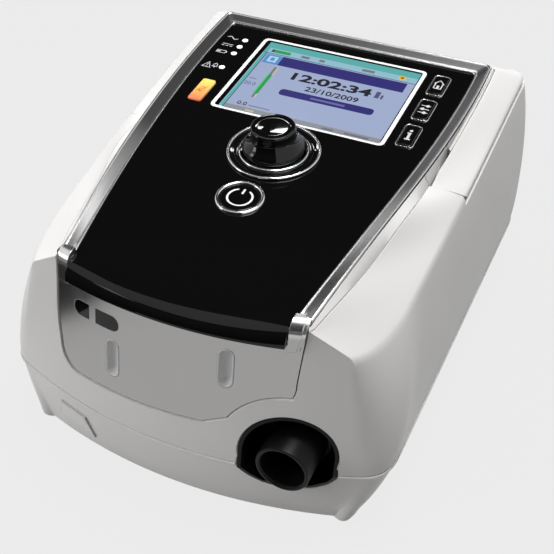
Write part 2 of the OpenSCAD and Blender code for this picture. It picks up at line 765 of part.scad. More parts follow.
// Black panel with its visor
module control_panel() {
    outline = [for (p = whole(rim_half_loop(-band_w - set_gap, function (y) 0))) [p.x, p.y]];
    far = 90;
    arc = [for (i = [0 : 10]) let (y = bend_y - i * 7.6) [y, panel_z(y)]];
    top = concat([[far, panel_z(far)]], arc);
    under = [for (i = [len(top) - 1 : -1 : 0]) [top[i].x, top[i].y - panel_t]];
    color("black") difference() {
        union() {
            intersection() {
                rotate([90, 0, 90]) translate([0, 0, -80]) linear_extrude(160) polygon(concat(top, under));
                linear_extrude(140) polygon(outline);
                behind_front(-plate_step - plate_t + 0.2);
            }
            visor();
            for (p = peg_at) on_panel(0, window_y) translate([p.x, p.y, -board_drop - board_t - 1.5])
                cylinder(h = board_drop + board_t, r = 1.6);
            for (p = peg_at) on_panel(0, window_y) translate([p.x, p.y, -board_drop + 0.05])
                cylinder(h = board_drop - 1, r = 2.8);
        }
        on_panel(0, window_y) translate([0, 0, -window_t]) linear_extrude(window_t + cut)
            rounded_rect(window_w + 0.2, window_l + 0.2, window_r);
        on_panel(0, window_y) translate([0, 0, -panel_t - 2]) linear_extrude(panel_t + 2)
            rounded_rect(window_w - 6, window_l - 6, window_r);
        on_panel(0, dial_y) translate([0, 0, -panel_t - cut]) cylinder(h = 8, r = shaft_r + run_gap);
        on_panel(0, dial_y) translate([0, 0, -1]) cylinder(h = 2, r = dial_ring_r + 0.1);
        on_panel(0, standby_y) translate([0, 0, -panel_t - 2]) cylinder(h = 8, r = standby_r + move_gap);
        on_panel(0, standby_y) translate([0, 0, -1]) cylinder(h = 2, r = standby_ring_r + 0.1);
        for (y = menu_key_y) on_panel(menu_key_x, y) translate([0, 0, -panel_t - cut]) linear_extrude(8)
            rounded_rect(key_w + 2 * move_gap, key_l + 2 * move_gap, key_r);
        on_panel(-left_row_x, mute_key_y) translate([0, 0, -panel_t - cut]) linear_extrude(8)
            rounded_rect(key_w + 2 * move_gap, mute_key_l + 2 * move_gap, key_r);
        for (y = light_y) on_panel(-left_row_x, y) translate([0, 0, -panel_t - cut]) cylinder(h = 8, r = light_r + 0.05);
    }
}

// Rounded nose of the panel over the front edge
module visor() {
    fold_y = 15.5 - front_reach;
    drop = [[3, 0.9], [6, 2.3], [8.5, 4.2], [11, 7]];
    intersection() {
        difference() {
            behind_front(visor_out);
            behind_front(-plate_step - plate_t - 1);
        }
        facing_front(-front_reach - 10, 60) translate([-visor_half, visor_low]) square([2 * visor_half, 20]);
        rotate([90, 0, 90]) translate([0, 0, -visor_half]) linear_extrude(2 * visor_half) polygon(concat(
            [[-80, 80], [-80, panel_z(-80)], [-90, panel_z(-90)], [fold_y, panel_z(fold_y)]],
            [for (d = drop) [fold_y - d.x, panel_z(fold_y) - d.y]],
            [[fold_y - 14, 80]]
        ));
        difference() {
            translate([-visor_half, -front_reach - 10, visor_low]) cube([2 * visor_half, 60, 30]);
            intersection() {
                behind_front(-plate_step + 0.1);
                translate([-60, -front_reach, 0]) cube([120, 60, visor_low + 2.1]);
            }
        }
    }
}

module display_window() {
    color("slategray") on_panel(0, window_y) translate([0, 0, -window_t + 0.05]) linear_extrude(window_t - 0.05)
        rounded_rect(window_w, window_l, window_r);
}

module display_module() {
    color("dimgray") on_panel(0, window_y) translate([0, 0, -board_drop + 0.1]) linear_extrude(board_drop - window_t - 0.15)
        rounded_rect(window_w - 7, window_l - 7, window_r);
}

// Board behind the panel, on four pegs
module display_board() {
    color("darkgreen") on_panel(0, window_y) translate([0, 0, -board_drop - board_t]) difference() {
        union() {
            translate([-56, -54, 0]) cube([112, 91, board_t]);
            translate([-40, -standby_drop(), 0]) cube([80, standby_drop(), board_t]);
        }
        for (p = peg_at) translate([p.x, p.y, -cut]) cylinder(h = 4, r = 1.6 + run_gap);
    }
}

// Distance down the panel from the window's middle to the board's front edge
function standby_drop() = window_y - standby_y + 12;

module dial_ring() {
    color("silver") on_panel(0, dial_y) rotate_extrude($fn = 96) polygon([
        [dial_ring_r - 5, -0.9], [dial_ring_r, -0.9], [dial_ring_r, 0.6], [dial_ring_r - 0.9, 1.5],
        [dial_ring_r - 1.8, 1.5], [dial_ring_r - 2.6, 0.5], [dial_ring_r - 5, 0.2]
    ]);
}

module dial_knob() {
    color("black") on_panel(0, dial_y) difference() {
        rotate_extrude($fn = 96) polygon([
            [0, 1], [knob_foot_r - 0.8, 1], [knob_foot_r, 2], [knob_foot_r - 0.4, 4.2], [knob_foot_r - 2.4, 6.4],
            [knob_cap_r + 0.1, 8.2], [knob_cap_r, 9.6], [knob_cap_r, knob_h - 1], [knob_cap_r - 0.9, knob_h], [0, knob_h]
        ]);
        translate([0, 0, 0]) cylinder(h = knob_h - 2, r = shaft_r + run_gap);
    }
}

module dial_shaft() {
    color("silver") on_panel(0, dial_y) translate([0, 0, -board_drop + 2.6]) cylinder(h = board_drop - 2.6 + knob_h - 2.3, r = shaft_r);
}

module encoder() {
    color("dimgray") on_panel(0, dial_y) difference() {
        translate([-7, -7, -board_drop + 0.05]) cube([14, 14, board_drop - panel_t - 0.2]);
        translate([0, 0, -board_drop + 1.6]) cylinder(h = board_drop, r = shaft_r + run_gap);
    }
}

module standby_ring() {
    color("silver") on_panel(0, standby_y) rotate_extrude($fn = 72) polygon([
        [standby_r + 0.3, -0.9], [standby_ring_r, -0.9], [standby_ring_r, 0.5],
        [standby_ring_r - 0.5, 1.1], [standby_r + 0.7, 1.1], [standby_r + 0.3, 0.6]
    ]);
}

module standby_button() {
    color("black") on_panel(0, standby_y) union() {
        rotate_extrude($fn = 72) polygon([
            [0, -key_depth], [standby_r, -key_depth], [standby_r, 0.2], [standby_r - 0.6, 0.7], [0, 0.4]
        ]);
        translate([0, 0, -key_depth]) cylinder(h = key_flange_t, r = standby_r + key_flange);
    }
}

// One key with its flange under the panel
module key(x, y, long = key_l) {
    on_panel(x, y) union() {
        translate([0, 0, -key_depth]) linear_extrude(key_depth + key_proud) rounded_rect(key_w, long, key_r);
        translate([0, 0, -key_depth]) linear_extrude(key_flange_t)
            rounded_rect(key_w + 2 * key_flange, long + 2 * key_flange, key_r);
    }
}

module menu_key_1() {
    color("black") key(menu_key_x, menu_key_y[0]);
}

module menu_key_2() {
    color("black") key(menu_key_x, menu_key_y[1]);
}

module menu_key_3() {
    color("black") key(menu_key_x, menu_key_y[2]);
}

module menu_key_frames() {
    color("silver") for (y = menu_key_y) on_panel(menu_key_x, y) linear_extrude(0.5) difference() {
        rounded_rect(key_w + 1.6, key_l + 1.6, key_r + 0.6);
        rounded_rect(key_w + 2 * move_gap, key_l + 2 * move_gap, key_r);
    }
}

module mute_key() {
    color("orange") key(-left_row_x, mute_key_y, mute_key_l);
}

// Rubber domes on the display board and the release key's spring
module key_springs() {
    spots = concat([for (y = menu_key_y) [menu_key_x, y]], [[-left_row_x, mute_key_y], [0, standby_y]]);
    color("gray") for (p = spots) on_panel(p.x, p.y) translate([0, 0, -board_drop + dome_lift(p.y)])
        cylinder(h = spring_h - dome_lift(p.y), r1 = 2.8, r2 = 1.8);
    color("gray") translate([stem_at.x, stem_y, stem_at.y]) rotate([90, 0, 0]) difference() {
        cylinder(h = 2, r = stem_r + 1.5);
        translate([0, 0, -cut]) cylinder(h = 5, r = stem_r + 0.3);
    }
}

// Height by which the flat board comes nearer to the panel where the panel bends down
function dome_lift(y) = panel_height + slope * y - panel_z(y) + 0.1;

module indicator_lights() {
    color("white") for (y = light_y) on_panel(-left_row_x, y) translate([0, 0, -board_drop + 0.1])
        cylinder(h = board_drop + 0.1, r = light_r);
}

module front_windows() {
    color("black") intersection() {
        difference() {
            behind_front(-plate_step - 0.1);
            behind_front(-plate_step - plate_t);
        }
        facing_front(-front_reach - 10, 60) window_outlines(0);
    }
}

// Black recess with its rear wall and the small lug beside the connector
module outlet_housing() {
    color("black") difference() {
        intersection() {
            facing_front(-front_reach - 10, 10 + front_reach - recess_back + recess_wall) recess_outline(0);
            behind_front(-0.1);
            behind_lower_front(-3.2);
        }
        facing_front(-front_reach - 20, 20 + front_reach - recess_back) recess_outline(-recess_wall);
        translate([outlet_x, -recess_back - cut, outlet_z]) rotate([-90, 0, 0]) cylinder(h = 8, r = outlet_r - 0.8 + 0.05);
    }
    color("black") translate([outlet_x + 15.3, -recess_back, outlet_z + 3]) rotate([90, 0, 0]) cylinder(h = 5, r = 1.3);
}

module outlet_connector() {
    color("black") translate([outlet_x, 0, outlet_z]) rotate([90, 0, 0]) difference() {
        union() {
            translate([0, 0, recess_back]) cylinder(h = outlet_reach - recess_back, r = outlet_r, $fn = 72);
            translate([0, 0, recess_back]) cylinder(h = 3, r = outlet_r + 2.6, $fn = 72);
            translate([0, 0, recess_back - 9]) cylinder(h = 10, r = outlet_r - 0.8, $fn = 72);
        }
        translate([0, 0, recess_back - 10]) cylinder(h = outlet_reach, r = outlet_bore_r, $fn = 72);
    }
}

module outlet_seal() {
    color("gray") translate([outlet_x, 0, outlet_z]) rotate([90, 0, 0]) translate([0, 0, recess_back - recess_wall - 2.05])
        difference() {
            cylinder(h = 2, r = outlet_r + 2);
            translate([0, 0, -cut]) cylinder(h = 4, r = outlet_r - 0.75);
        }
}

// Elastic duct between the flow sensor and the outlet
module outlet_duct() {
    front = recess_back - recess_wall - 2.1;
    color("gray") translate([outlet_x, 0, outlet_z]) rotate([90, 0, 0]) difference() {
        union() {
            translate([0, 0, -sensor_y]) cylinder(h = front + sensor_y, r = outlet_r + 1);
            for (i = [0 : 2]) translate([0, 0, -sensor_y + 2 + i * 3.4]) cylinder(h = 1.6, r = outlet_r + 2);
        }
        translate([0, 0, -sensor_y - cut]) cylinder(h = 40, r = outlet_r - 0.75);
    }
}

module flow_sensor() {
    color("dimgray") difference() {
        union() {
            translate([outlet_x, stub_y, outlet_z]) rotate([90, 0, 0]) cylinder(h = stub_y - sensor_y, r = outlet_r + 1);
            translate([outlet_x - 8, sensor_y + 1, outlet_z + 9]) cube([16, 12, 7]);
        }
        translate([outlet_x, stub_y + cut, outlet_z]) rotate([90, 0, 0]) cylinder(h = 30, r = outlet_bore_r);
    }
}

// Outline of the release key in the XZ plane, grown by g
module release_outline(g) {
    polygon([[-55 - g, 22 + g], [-41.5, 21 + g], [-38.4 + g, 9 - g], [-57.6 - g, 11.4 - g]]);
}

module release_key() {
    color("whitesmoke") union() {
        intersection() {
            facing_front(-front_reach - 10, 60) release_outline(0);
            difference() {
                behind_lower_front(-seam_inset - 1.5);
                behind_lower_front(-seam_inset - 5.5);
            }
        }
        difference() {
            translate([stem_at.x, stem_y + 5, stem_at.y]) rotate([90, 0, 0]) cylinder(h = 14, r = stem_r);
            difference() {
                behind_front(20);
                behind_lower_front(-seam_inset - 3.5);
            }
        }
    }
}

// Carry handle: two arms and the bar behind the rim
module carry_handle() {
    z_top = function (y) rim_z(y) - lookup(y, strip_steps);
    inner_low = rim_half_loop(strip_out + handle_gap, function (y) ledge_z(y) + handle_gap);
    inner_top = rim_half_loop(strip_out + handle_gap, function (y) z_top(y) - 0.3);
    outer_top = crease_half_loop(0, 0);
    outer_low = crease_half_loop(0.2, handle_edge);
    from = handle_y + 0.4;
    cut_y = handle_y + pivot_back;
    color("whitesmoke") difference() {
        one_mesh() intersection() {
            band([rail(inner_low, from), rail(inner_top, from), rail(outer_top, from), rail(outer_low, from)]);
            union() {
                translate([-100, cut_y, 50]) cube([200, 100, 100]);
                arm_end(0);
            }
        }
        for (s = [-1, 1]) translate([s * (rim_x(5) - rim_wall_in), cut_y, pivot_height]) rotate([0, s * 90, 0])
            cylinder(h = pin_l - 0.6, r = pin_r + run_gap);
    }
}

module handle_pins() {
    color("silver") for (s = [-1, 1])
        translate([s * (rim_x(5) - rim_wall_in), handle_y + pivot_back, pivot_height])
            rotate([0, s * 90, 0]) cylinder(h = pin_l - 1, r = pin_r);
}

module feet() {
    color("dimgray") for (p = foot_at) translate([p.x, p.y, 0]) cylinder(h = base_height + 3, r = 7);
}

module case_screws() {
    color("silver") for (p = screw_at) {
        translate([p.x, p.y, base_height + 1.4]) cylinder(h = 2.6, r = 3);
        translate([p.x, p.y, base_height + 4]) cylinder(h = seam_z(p.y) - base_height + 10, r = 1.35);
    }
}

// Tray that stands on the lower case's posts and carries what lies inside
module chassis_tray() {
    color("lightgray") difference() {
        union() {
            translate([-tray_half, -78, tray_z]) cube([2 * tray_half, 168, tray_t]);
            translate([stem_at.x - 8, stem_y, tray_z]) cube([16, -78 - stem_y + cut, tray_t]);
            translate([stem_at.x - 8, stem_y, tray_z - 2]) cube([16, 3, 12]);
        }
        for (p = tray_post_at) translate([p.x, p.y, tray_z - cut]) cylinder(h = 6, r = 1.3);
        for (i = [0 : 3]) translate([-18, -66 + i * 12, tray_z - cut]) cube([10, 6, 6]);
        translate([stem_at.x, stem_y - cut, stem_at.y]) rotate([-90, 0, 0]) cylinder(h = 9, r = stem_r + run_gap);
    }
}

module blower_outline(r) {
    union() {
        translate(blower_at) circle(r, $fn = 96);
        translate([blower_at.x + r - 2 * (outlet_r + 1), stub_y]) square([2 * (outlet_r + 1), blower_at.y - stub_y]);
    }
}

// Lower half of the volute with the motor's seat
module blower_lower() {
    color("lightgray") difference() {
        union() {
            translate([0, 0, blower_z]) linear_extrude(blower_h) blower_outline(blower_r);
            for (p = damper_at()) translate([p.x, p.y, blower_z]) cylinder(h = 4, r = 5);
        }
        volute_space(blower_z + 2, blower_top - 2);
        translate([blower_at.x, blower_at.y, blower_z - cut]) cylinder(h = 6, r = 4);
    }
}

// Space in the volute and in its outlet stub
module volute_space(low, high) {
    translate([blower_at.x, blower_at.y, low]) cylinder(h = high - low, r = blower_r - 2.5, $fn = 96);
    translate([outlet_x, blower_at.y, outlet_z]) rotate([90, 0, 0]) cylinder(h = 60, r = outlet_bore_r);
}

function damper_at() = [for (a = [60, 150, 205, 330]) [
    blower_at.x + (blower_r + 3) * cos(a), blower_at.y + (blower_r + 3) * sin(a)]];

module blower_upper() {
    color("lightgray") difference() {
        translate([0, 0, blower_z + blower_h + 0.05]) linear_extrude(blower_h - 0.05) blower_outline(blower_r);
        volute_space(blower_z + 2, blower_top - 2);
        translate([blower_at.x, blower_at.y, blower_top - 4]) cylinder(h = 6, r = 14);
    }
}

module blower_mounts() {
    color("dimgray") for (p = damper_at()) translate([p.x, p.y, tray_top]) cylinder(h = damper_h, r = 4);
}

// Wheel with backward blades on a hub
module impeller() {
    z = blower_z + 18.5;
    blades = 11;
    color("white") translate([blower_at.x, blower_at.y, z]) difference() {
        union() {
            cylinder(h = 1.6, r = impeller_r, $fn = 72);
            cylinder(h = 9, r = 6);
            for (i = [0 : blades - 1]) rotate(i * 360 / blades) translate([8, 0, 0]) rotate(-35)
                cube([impeller_r - 11, 1.2, 9]);
        }
        translate([0, 0, -cut]) cylinder(h = 12, r = motor_shaft_r);
    }
}

module motor_shaft() {
    color("silver") translate([blower_at.x, blower_at.y, blower_z + 3.2]) union() {
        cylinder(h = 23, r = motor_shaft_r);
        translate([0, 0, 3.8]) cylinder(h = 5.6, r = 7);
    }
}

module motor_stator() {
    color("dimgray") translate([blower_at.x, blower_at.y, blower_z + 2.05]) difference() {
        cylinder(h = 15, r = 15);
        translate([0, 0, 4.6]) cylinder(h = 6.8, r = 7.3);
        translate([0, 0, 1]) cylinder(h = 20, r = 5);
    }
}

module motor_bearings() {
    color("silver") translate([blower_at.x, blower_at.y, blower_z + 2.05]) for (z = [1.05, 11.5]) translate([0, 0, z])
        difference() {
            cylinder(h = 3.4, r = 4.98);
            translate([0, 0, -cut]) cylinder(h = 6, r = motor_shaft_r + 0.02);
        }
}

module inlet_muffler() {
    t = 2;
    color("gray") difference() {
        union() {
            translate([muffler_at.x, muffler_at.y, tray_top]) cube([muffler.x, muffler.y, muffler_h]);
            translate([-79, filter_y[0] - t, filter_z[0] - t])
                cube([79 + muffler_at.x + t, filter_y[1] - filter_y[0] + 2 * t, blower_top - filter_z[0] + t - 1]);
        }
        translate([muffler_at.x + t, muffler_at.y + t, tray_top + t]) cube([muffler.x - 2 * t, muffler.y - 2 * t, muffler_h - 2 * t]);
        translate([-80, filter_y[0], filter_z[0]])
            cube([80 + muffler_at.x + 2 * t, filter_y[1] - filter_y[0], blower_top - filter_z[0] - t - 1]);
        translate([duct_at.x, duct_at.y, tray_top + muffler_h - 3]) cylinder(h = 6, r = 10);
    }
}

duct_at = [-22, 22];

// Flat duct from the muffler's top to the blower's eye
module inlet_duct() {
    away = [blower_at.x - duct_at.x, blower_at.y - duct_at.y];
    run = norm(away);
    turn = atan2(away.y, away.x);
    z = tray_top + muffler_h;
    color("gray") difference() {
        duct_body(z, 7, 0, run, turn);
        duct_body(z - cut, 5.5 + cut, -1.5, run, turn);
    }
}

module duct_body(z, h, g, run, turn) {
    translate([duct_at.x, duct_at.y, z]) linear_extrude(h) union() {
        circle(13 + g);
        rotate(turn) translate([run, 0]) circle(17 + g);
        rotate(turn) translate([0, -12.4 - g]) square([run, 24.8 + 2 * g]);
    }
}

module air_filter() {
    color("lightblue") translate([-78.5, filter_y[0] + 0.2, filter_z[0] + 0.2])
        cube([6, filter_y[1] - filter_y[0] - 0.4, blower_top - filter_z[0] - 3.4]);
}

// Louvred cover that swings on its lower edge
module filter_cover() {
    l = filter_y[1] - filter_y[0] + 8;
    h = filter_z[1] - filter_z[0] + 6 - 1.2;
    color("whitesmoke") at_filter() difference() {
        union() {
            translate([-1.2, -l / 2, 0]) cube([2.4, l, h]);
            translate([0, -l / 2, 0]) rotate([-90, 0, 0]) cylinder(h = l, r = 1.2);
        }
        for (i = [0 : 5]) translate([-3, -l / 2 + 4, 4 + i * 3.2]) cube([6, l - 8, 1.3]);
        translate([0, -l / 2 - cut, 0]) rotate([-90, 0, 0]) cylinder(h = l + 2 * cut, r = 0.6 + run_gap);
    }
}

module filter_pin() {
    l = filter_y[1] - filter_y[0] + 8;
    color("silver") at_filter() translate([0, -l / 2 - 3.5, 0]) rotate([-90, 0, 0]) cylinder(h = l + 7, r = 0.6);
}

module battery_pack() {
    color("steelblue") translate([battery_at.x, battery_at.y + 5, tray_top]) cube(battery);
}

module battery_strap() {
    t = 1.2;
    color("silver") translate([battery_at.x - t - 0.1, battery_at.y + 30, tray_top]) difference() {
        cube([battery.x + 2 * t + 0.2, 14, battery.z + t + 0.1]);
        translate([t, -cut, -cut]) cube([battery.x + 0.2, 20, battery.z + cut + 0.1]);
    }
}

module power_supply() {
    color("goldenrod") translate([supply_at.x, supply_at.y, tray_top]) union() {
        cube([supply.x, supply.y, 2]);
        translate([4, 6, 2]) cube([22, 24, supply.z - 4]);
        translate([32, 6, 2]) cube([20, 18, supply.z - 8]);
        for (i = [0 : 2]) translate([12 + i * 17, 48, 2]) cylinder(h = supply.z - 6, r = 7);
    }
}

module main_board() {
    color("darkgreen") difference() {
        union() {
            translate([-73, -78, board_z]) cube([146, 163, board_t]);
            translate([-40, 20, board_z + board_t]) cube([24, 24, 2]);
            translate([10, 30, board_z + board_t]) cube([16, 30, 6]);
            translate([-60, -50, board_z + board_t]) cube([30, 12, 5]);
        }
        for (p = spacer_at) translate([p.x, p.y, board_z - cut]) cylinder(h = 6, r = 1.6);
    }
}

module board_spacers() {
    color("silver") for (p = spacer_at) translate([p.x, p.y, tray_top]) cylinder(h = board_z - tray_top, r = 3);
}

module speaker() {
    color("dimgray") translate([-44, 76, tray_top]) union() {
        cylinder(h = 5, r = 9);
        translate([0, 0, 5]) cylinder(h = 3, r1 = 9, r2 = 15);
        translate([0, 0, 8]) cylinder(h = 1.5, r = 15);
    }
}

// Recessed plate with a raised rim that carries the sockets
module rear_panel() {
    y = rear_panel_y;
    color("dimgray") difference() {
        union() {
            facing_front(y - rear_panel_t, rear_panel_t) rear_outline(0);
            for (s = [-1, 1]) translate([switch_at.x + s * 8.2 - 1.5, rocker_y - 4, switch_at.y - 4])
                cube([3, y - rocker_y + 3, 8]);
            one_mesh() intersection() {
                facing_front(y - rear_panel_t / 2, 20) difference() {
                    rear_outline(0);
                    rear_outline(-2);
                }
                upper_form();
            }
        }
        translate([switch_at.x - 12, rocker_y, switch_at.y]) rotate([0, 90, 0]) cylinder(h = 24, r = rocker_pin_r + run_gap);
        facing_front(y - 10, 20) union() {
            translate(inlet_at) square([27.2, 20.2], center = true);
            translate(switch_at) square([13.2, 19.2], center = true);
            translate(dc_at) circle(6.1);
            translate(data_at) square([12.2, 7.2], center = true);
            translate(oxygen_at) circle(5.1);
            for (i = [-3 : 3]) translate([fan_at.x + i * 3.6, fan_at.y]) square([2, 22], center = true);
        }
    }
}

// Inlet with three blades in its cavity
module mains_inlet() {
    color("black") translate([inlet_at.x, rear_panel_y, inlet_at.y]) difference() {
        union() {
            translate([-13.5, -20, -10]) cube([27, 22, 20]);
            translate([-15, 0.05, -12]) cube([30, 1.95, 24]);
        }
        translate([-12, -15, -8]) cube([24, 20, 16]);
    }
    color("silver") for (p = [[-7, 2], [7, 2], [0, -2.5]])
        translate([inlet_at.x + p.x - 1, rear_panel_y - 16, inlet_at.y + p.y - 2]) cube([2, 13, 4]);
}

// Rocker in two flats about its pivot
module mains_switch() {
    color("black") translate([switch_at.x, rocker_y, switch_at.y]) rotate([90, 0, 90]) union() {
        translate([0, 0, -6]) linear_extrude(12) polygon([
            [5.2, 0], [3.6, 7.8], [-1, 8.8], [-5, 4], [-5, -4], [-1, -8.8], [6, -7.6]
        ]);
        translate([0, 0, -9.2]) cylinder(h = 18.4, r = rocker_pin_r);
    }
}

module dc_socket() {
    color("dimgray") translate([dc_at.x, rear_panel_y, dc_at.y]) rotate([90, 0, 0]) difference() {
        union() {
            translate([0, 0, -1.5]) cylinder(h = 15.5, r = 6);
            translate([0, 0, -1.5]) cylinder(h = 1.45, r = 7);
        }
        translate([0, 0, -2]) cylinder(h = 12, r = jack_bore_r);
    }
}

module data_socket() {
    color("silver") translate([data_at.x, rear_panel_y, data_at.y]) difference() {
        translate([-6, -12, -3.5]) cube([12, 12.6, 7]);
        translate([-5.3, -10, -2.5]) cube([10.6, 12, 5]);
    }
}

// Barbed inlet for added oxygen
module oxygen_inlet() {
    color("lightgray") translate([oxygen_at.x, rear_panel_y, oxygen_at.y]) rotate([90, 0, 0]) difference() {
        union() {
            translate([0, 0, -1.5]) cylinder(h = 11.5, r = 5);
            translate([0, 0, -1.5]) cylinder(h = 1.45, r = 6.4);
            translate([0, 0, -7]) cylinder(h = 8, r = oxygen_r);
            translate([0, 0, -6]) cylinder(h = 1.8, r1 = oxygen_r, r2 = oxygen_r + 0.6);
        }
        translate([0, 0, -8]) cylinder(h = 20, r = 1.6);
    }
}

module fan_frame() {
    y = rear_panel_y - rear_panel_t - fan_t - 0.05;
    color("dimgray") translate([fan_at.x, y, fan_at.y]) difference() {
        translate([-fan_size / 2, 0, -fan_size / 2]) cube([fan_size, fan_t, fan_size]);
        difference() {
            translate([0, -cut, 0]) rotate([-90, 0, 0]) cylinder(h = fan_t + 2 * cut, r = 14);
            translate([0, 0, 0]) rotate([-90, 0, 0]) cylinder(h = 1.5, r = 6);
            for (a = [45 : 90 : 315]) rotate([0, a, 0]) translate([-1, 0, 0]) cube([2, 1.5, 15]);
        }
    }
}

module fan_rotor() {
    y = rear_panel_y - rear_panel_t - fan_t - 0.05;
    color("black") translate([fan_at.x, y + 1.8, fan_at.y]) rotate([-90, 0, 0]) union() {
        cylinder(h = 5.6, r = 6);
        for (i = [0 : 6]) rotate(i * 360 / 7) translate([5, -3, 0.8]) cube([8, 1.2, 4.4]);
    }
}

lower_case();
upper_case();
connector_frame();
front_trim();
control_panel();
display_window();
display_module();
display_board();
dial_ring();
dial_knob();
dial_shaft();
encoder();
standby_ring();
standby_button();
menu_key_1();
menu_key_2();
menu_key_3();
menu_key_frames();
mute_key();
key_springs();
indicator_lights();
front_windows();
outlet_housing();
outlet_connector();
outlet_seal();
outlet_duct();
flow_sensor();
release_key();
carry_handle();
handle_pins();
feet();
case_screws();
chassis_tray();
blower_lower();
blower_upper();
blower_mounts();
impeller();
motor_shaft();
motor_stator();
motor_bearings();
inlet_muffler();
inlet_duct();
air_filter();
filter_cover();
filter_pin();
battery_pack();
battery_strap();
power_supply();
main_board();
board_spacers();
speaker();
rear_panel();
mains_inlet();
mains_switch();
dc_socket();
data_socket();
oxygen_inlet();
fan_frame();
fan_rotor();
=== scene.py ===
# %% [markdown]
# # A non-invasive ventilator, dressed in Blender
#
# The solids, their sizes and their joints come from a CAD model. This lesson puts smooth skins, printed marks
# and real finishes on them. The CAD model arrives as a fixed frame, in metres, with +Z up and the front of
# the machine towards -Y, so nothing has to be fitted: a piece goes where its drawing says.

# %% The frame
import json
import math

import bmesh
import bpy
import numpy as np
from mathutils import Matrix, Vector


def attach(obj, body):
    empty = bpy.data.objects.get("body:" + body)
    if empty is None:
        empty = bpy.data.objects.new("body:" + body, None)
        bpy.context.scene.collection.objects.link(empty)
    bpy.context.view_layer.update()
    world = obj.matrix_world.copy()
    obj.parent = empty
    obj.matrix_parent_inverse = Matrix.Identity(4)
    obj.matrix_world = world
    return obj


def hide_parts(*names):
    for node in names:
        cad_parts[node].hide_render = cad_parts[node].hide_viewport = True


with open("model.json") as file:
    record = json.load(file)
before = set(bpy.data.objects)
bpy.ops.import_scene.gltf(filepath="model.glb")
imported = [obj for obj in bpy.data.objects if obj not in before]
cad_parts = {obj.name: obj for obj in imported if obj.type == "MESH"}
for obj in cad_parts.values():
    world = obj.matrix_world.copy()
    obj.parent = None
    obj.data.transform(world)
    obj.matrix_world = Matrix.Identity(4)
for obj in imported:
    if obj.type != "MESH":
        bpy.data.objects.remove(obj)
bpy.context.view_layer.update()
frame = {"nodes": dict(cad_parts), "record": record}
scene = bpy.context.scene
scene.view_settings.view_transform = "Standard"

# %% [markdown]
# ## The camera
#
# The photograph was taken from the front right and from above, with a mild perspective. The camera's place was
# solved from the corners of the display and of the case. It is built from three directions: to the right, up,
# and back towards the camera, turned a little about the line of sight.

# %% The camera
AZIMUTH = math.radians(23.404)
ELEVATION = math.radians(38.52)
ROLL = math.radians(1.04)
DISTANCE = 0.465053
TARGET = Vector((0.003644, -0.022938, 0.047683))
back = Vector((math.sin(AZIMUTH) * math.cos(ELEVATION), -math.cos(AZIMUTH) * math.cos(ELEVATION),
               math.sin(ELEVATION)))
level = Vector((math.cos(AZIMUTH), math.sin(AZIMUTH), 0))
right = level * math.cos(ROLL) + back.cross(level) * math.sin(ROLL)
upward = back.cross(right)
camera = bpy.data.objects.new("camera", bpy.data.cameras.new("camera"))
camera.data.lens = 68.306
camera.data.sensor_width = 36
camera.data.shift_x = 0.00716
camera.data.shift_y = -0.00381
camera.data.clip_start = 0.01
turn = Matrix((right, upward, back)).transposed()
camera.matrix_world = Matrix.Translation(TARGET + back * DISTANCE) @ turn.to_4x4()
scene.collection.objects.link(camera)
scene.camera = camera
print("camera at", [round(v, 3) for v in camera.location])

# %% [markdown]
# ## A small language for materials
#
# Blender's materials are graphs of nodes. Drawing them by code is easier to read when sums and products look like
# sums and products, so a Wire stands for one socket and turns + - * / into Math nodes. Every other node comes from
# one method of Finish, which takes the node's type, its settings and what goes into its sockets.

# %% Wires and finishes
class Wire:
    """One output socket of a material's node tree."""

    def __init__(self, tree, socket):
        self.tree, self.socket = tree, socket

    def math(self, operation, *values):
        node = self.tree.nodes.new("ShaderNodeMath")
        node.operation = operation
        for slot, value in zip(node.inputs, values):
            plug(self.tree, slot, value)
        return Wire(self.tree, node.outputs[0])

    def __add__(self, other): return self.math("ADD", self, other)
    def __radd__(self, other): return self.math("ADD", other, self)
    def __sub__(self, other): return self.math("SUBTRACT", self, other)
    def __rsub__(self, other): return self.math("SUBTRACT", other, self)
    def __mul__(self, other): return self.math("MULTIPLY", self, other)
    def __rmul__(self, other): return self.math("MULTIPLY", other, self)
    def __truediv__(self, other): return self.math("DIVIDE", self, other)
    def __rtruediv__(self, other): return self.math("DIVIDE", other, self)


def plug(tree, slot, value):
    """Puts a wire or a plain value into a socket."""
    if isinstance(value, Wire):
        tree.links.new(value.socket, slot)
    else:
        slot.default_value = value


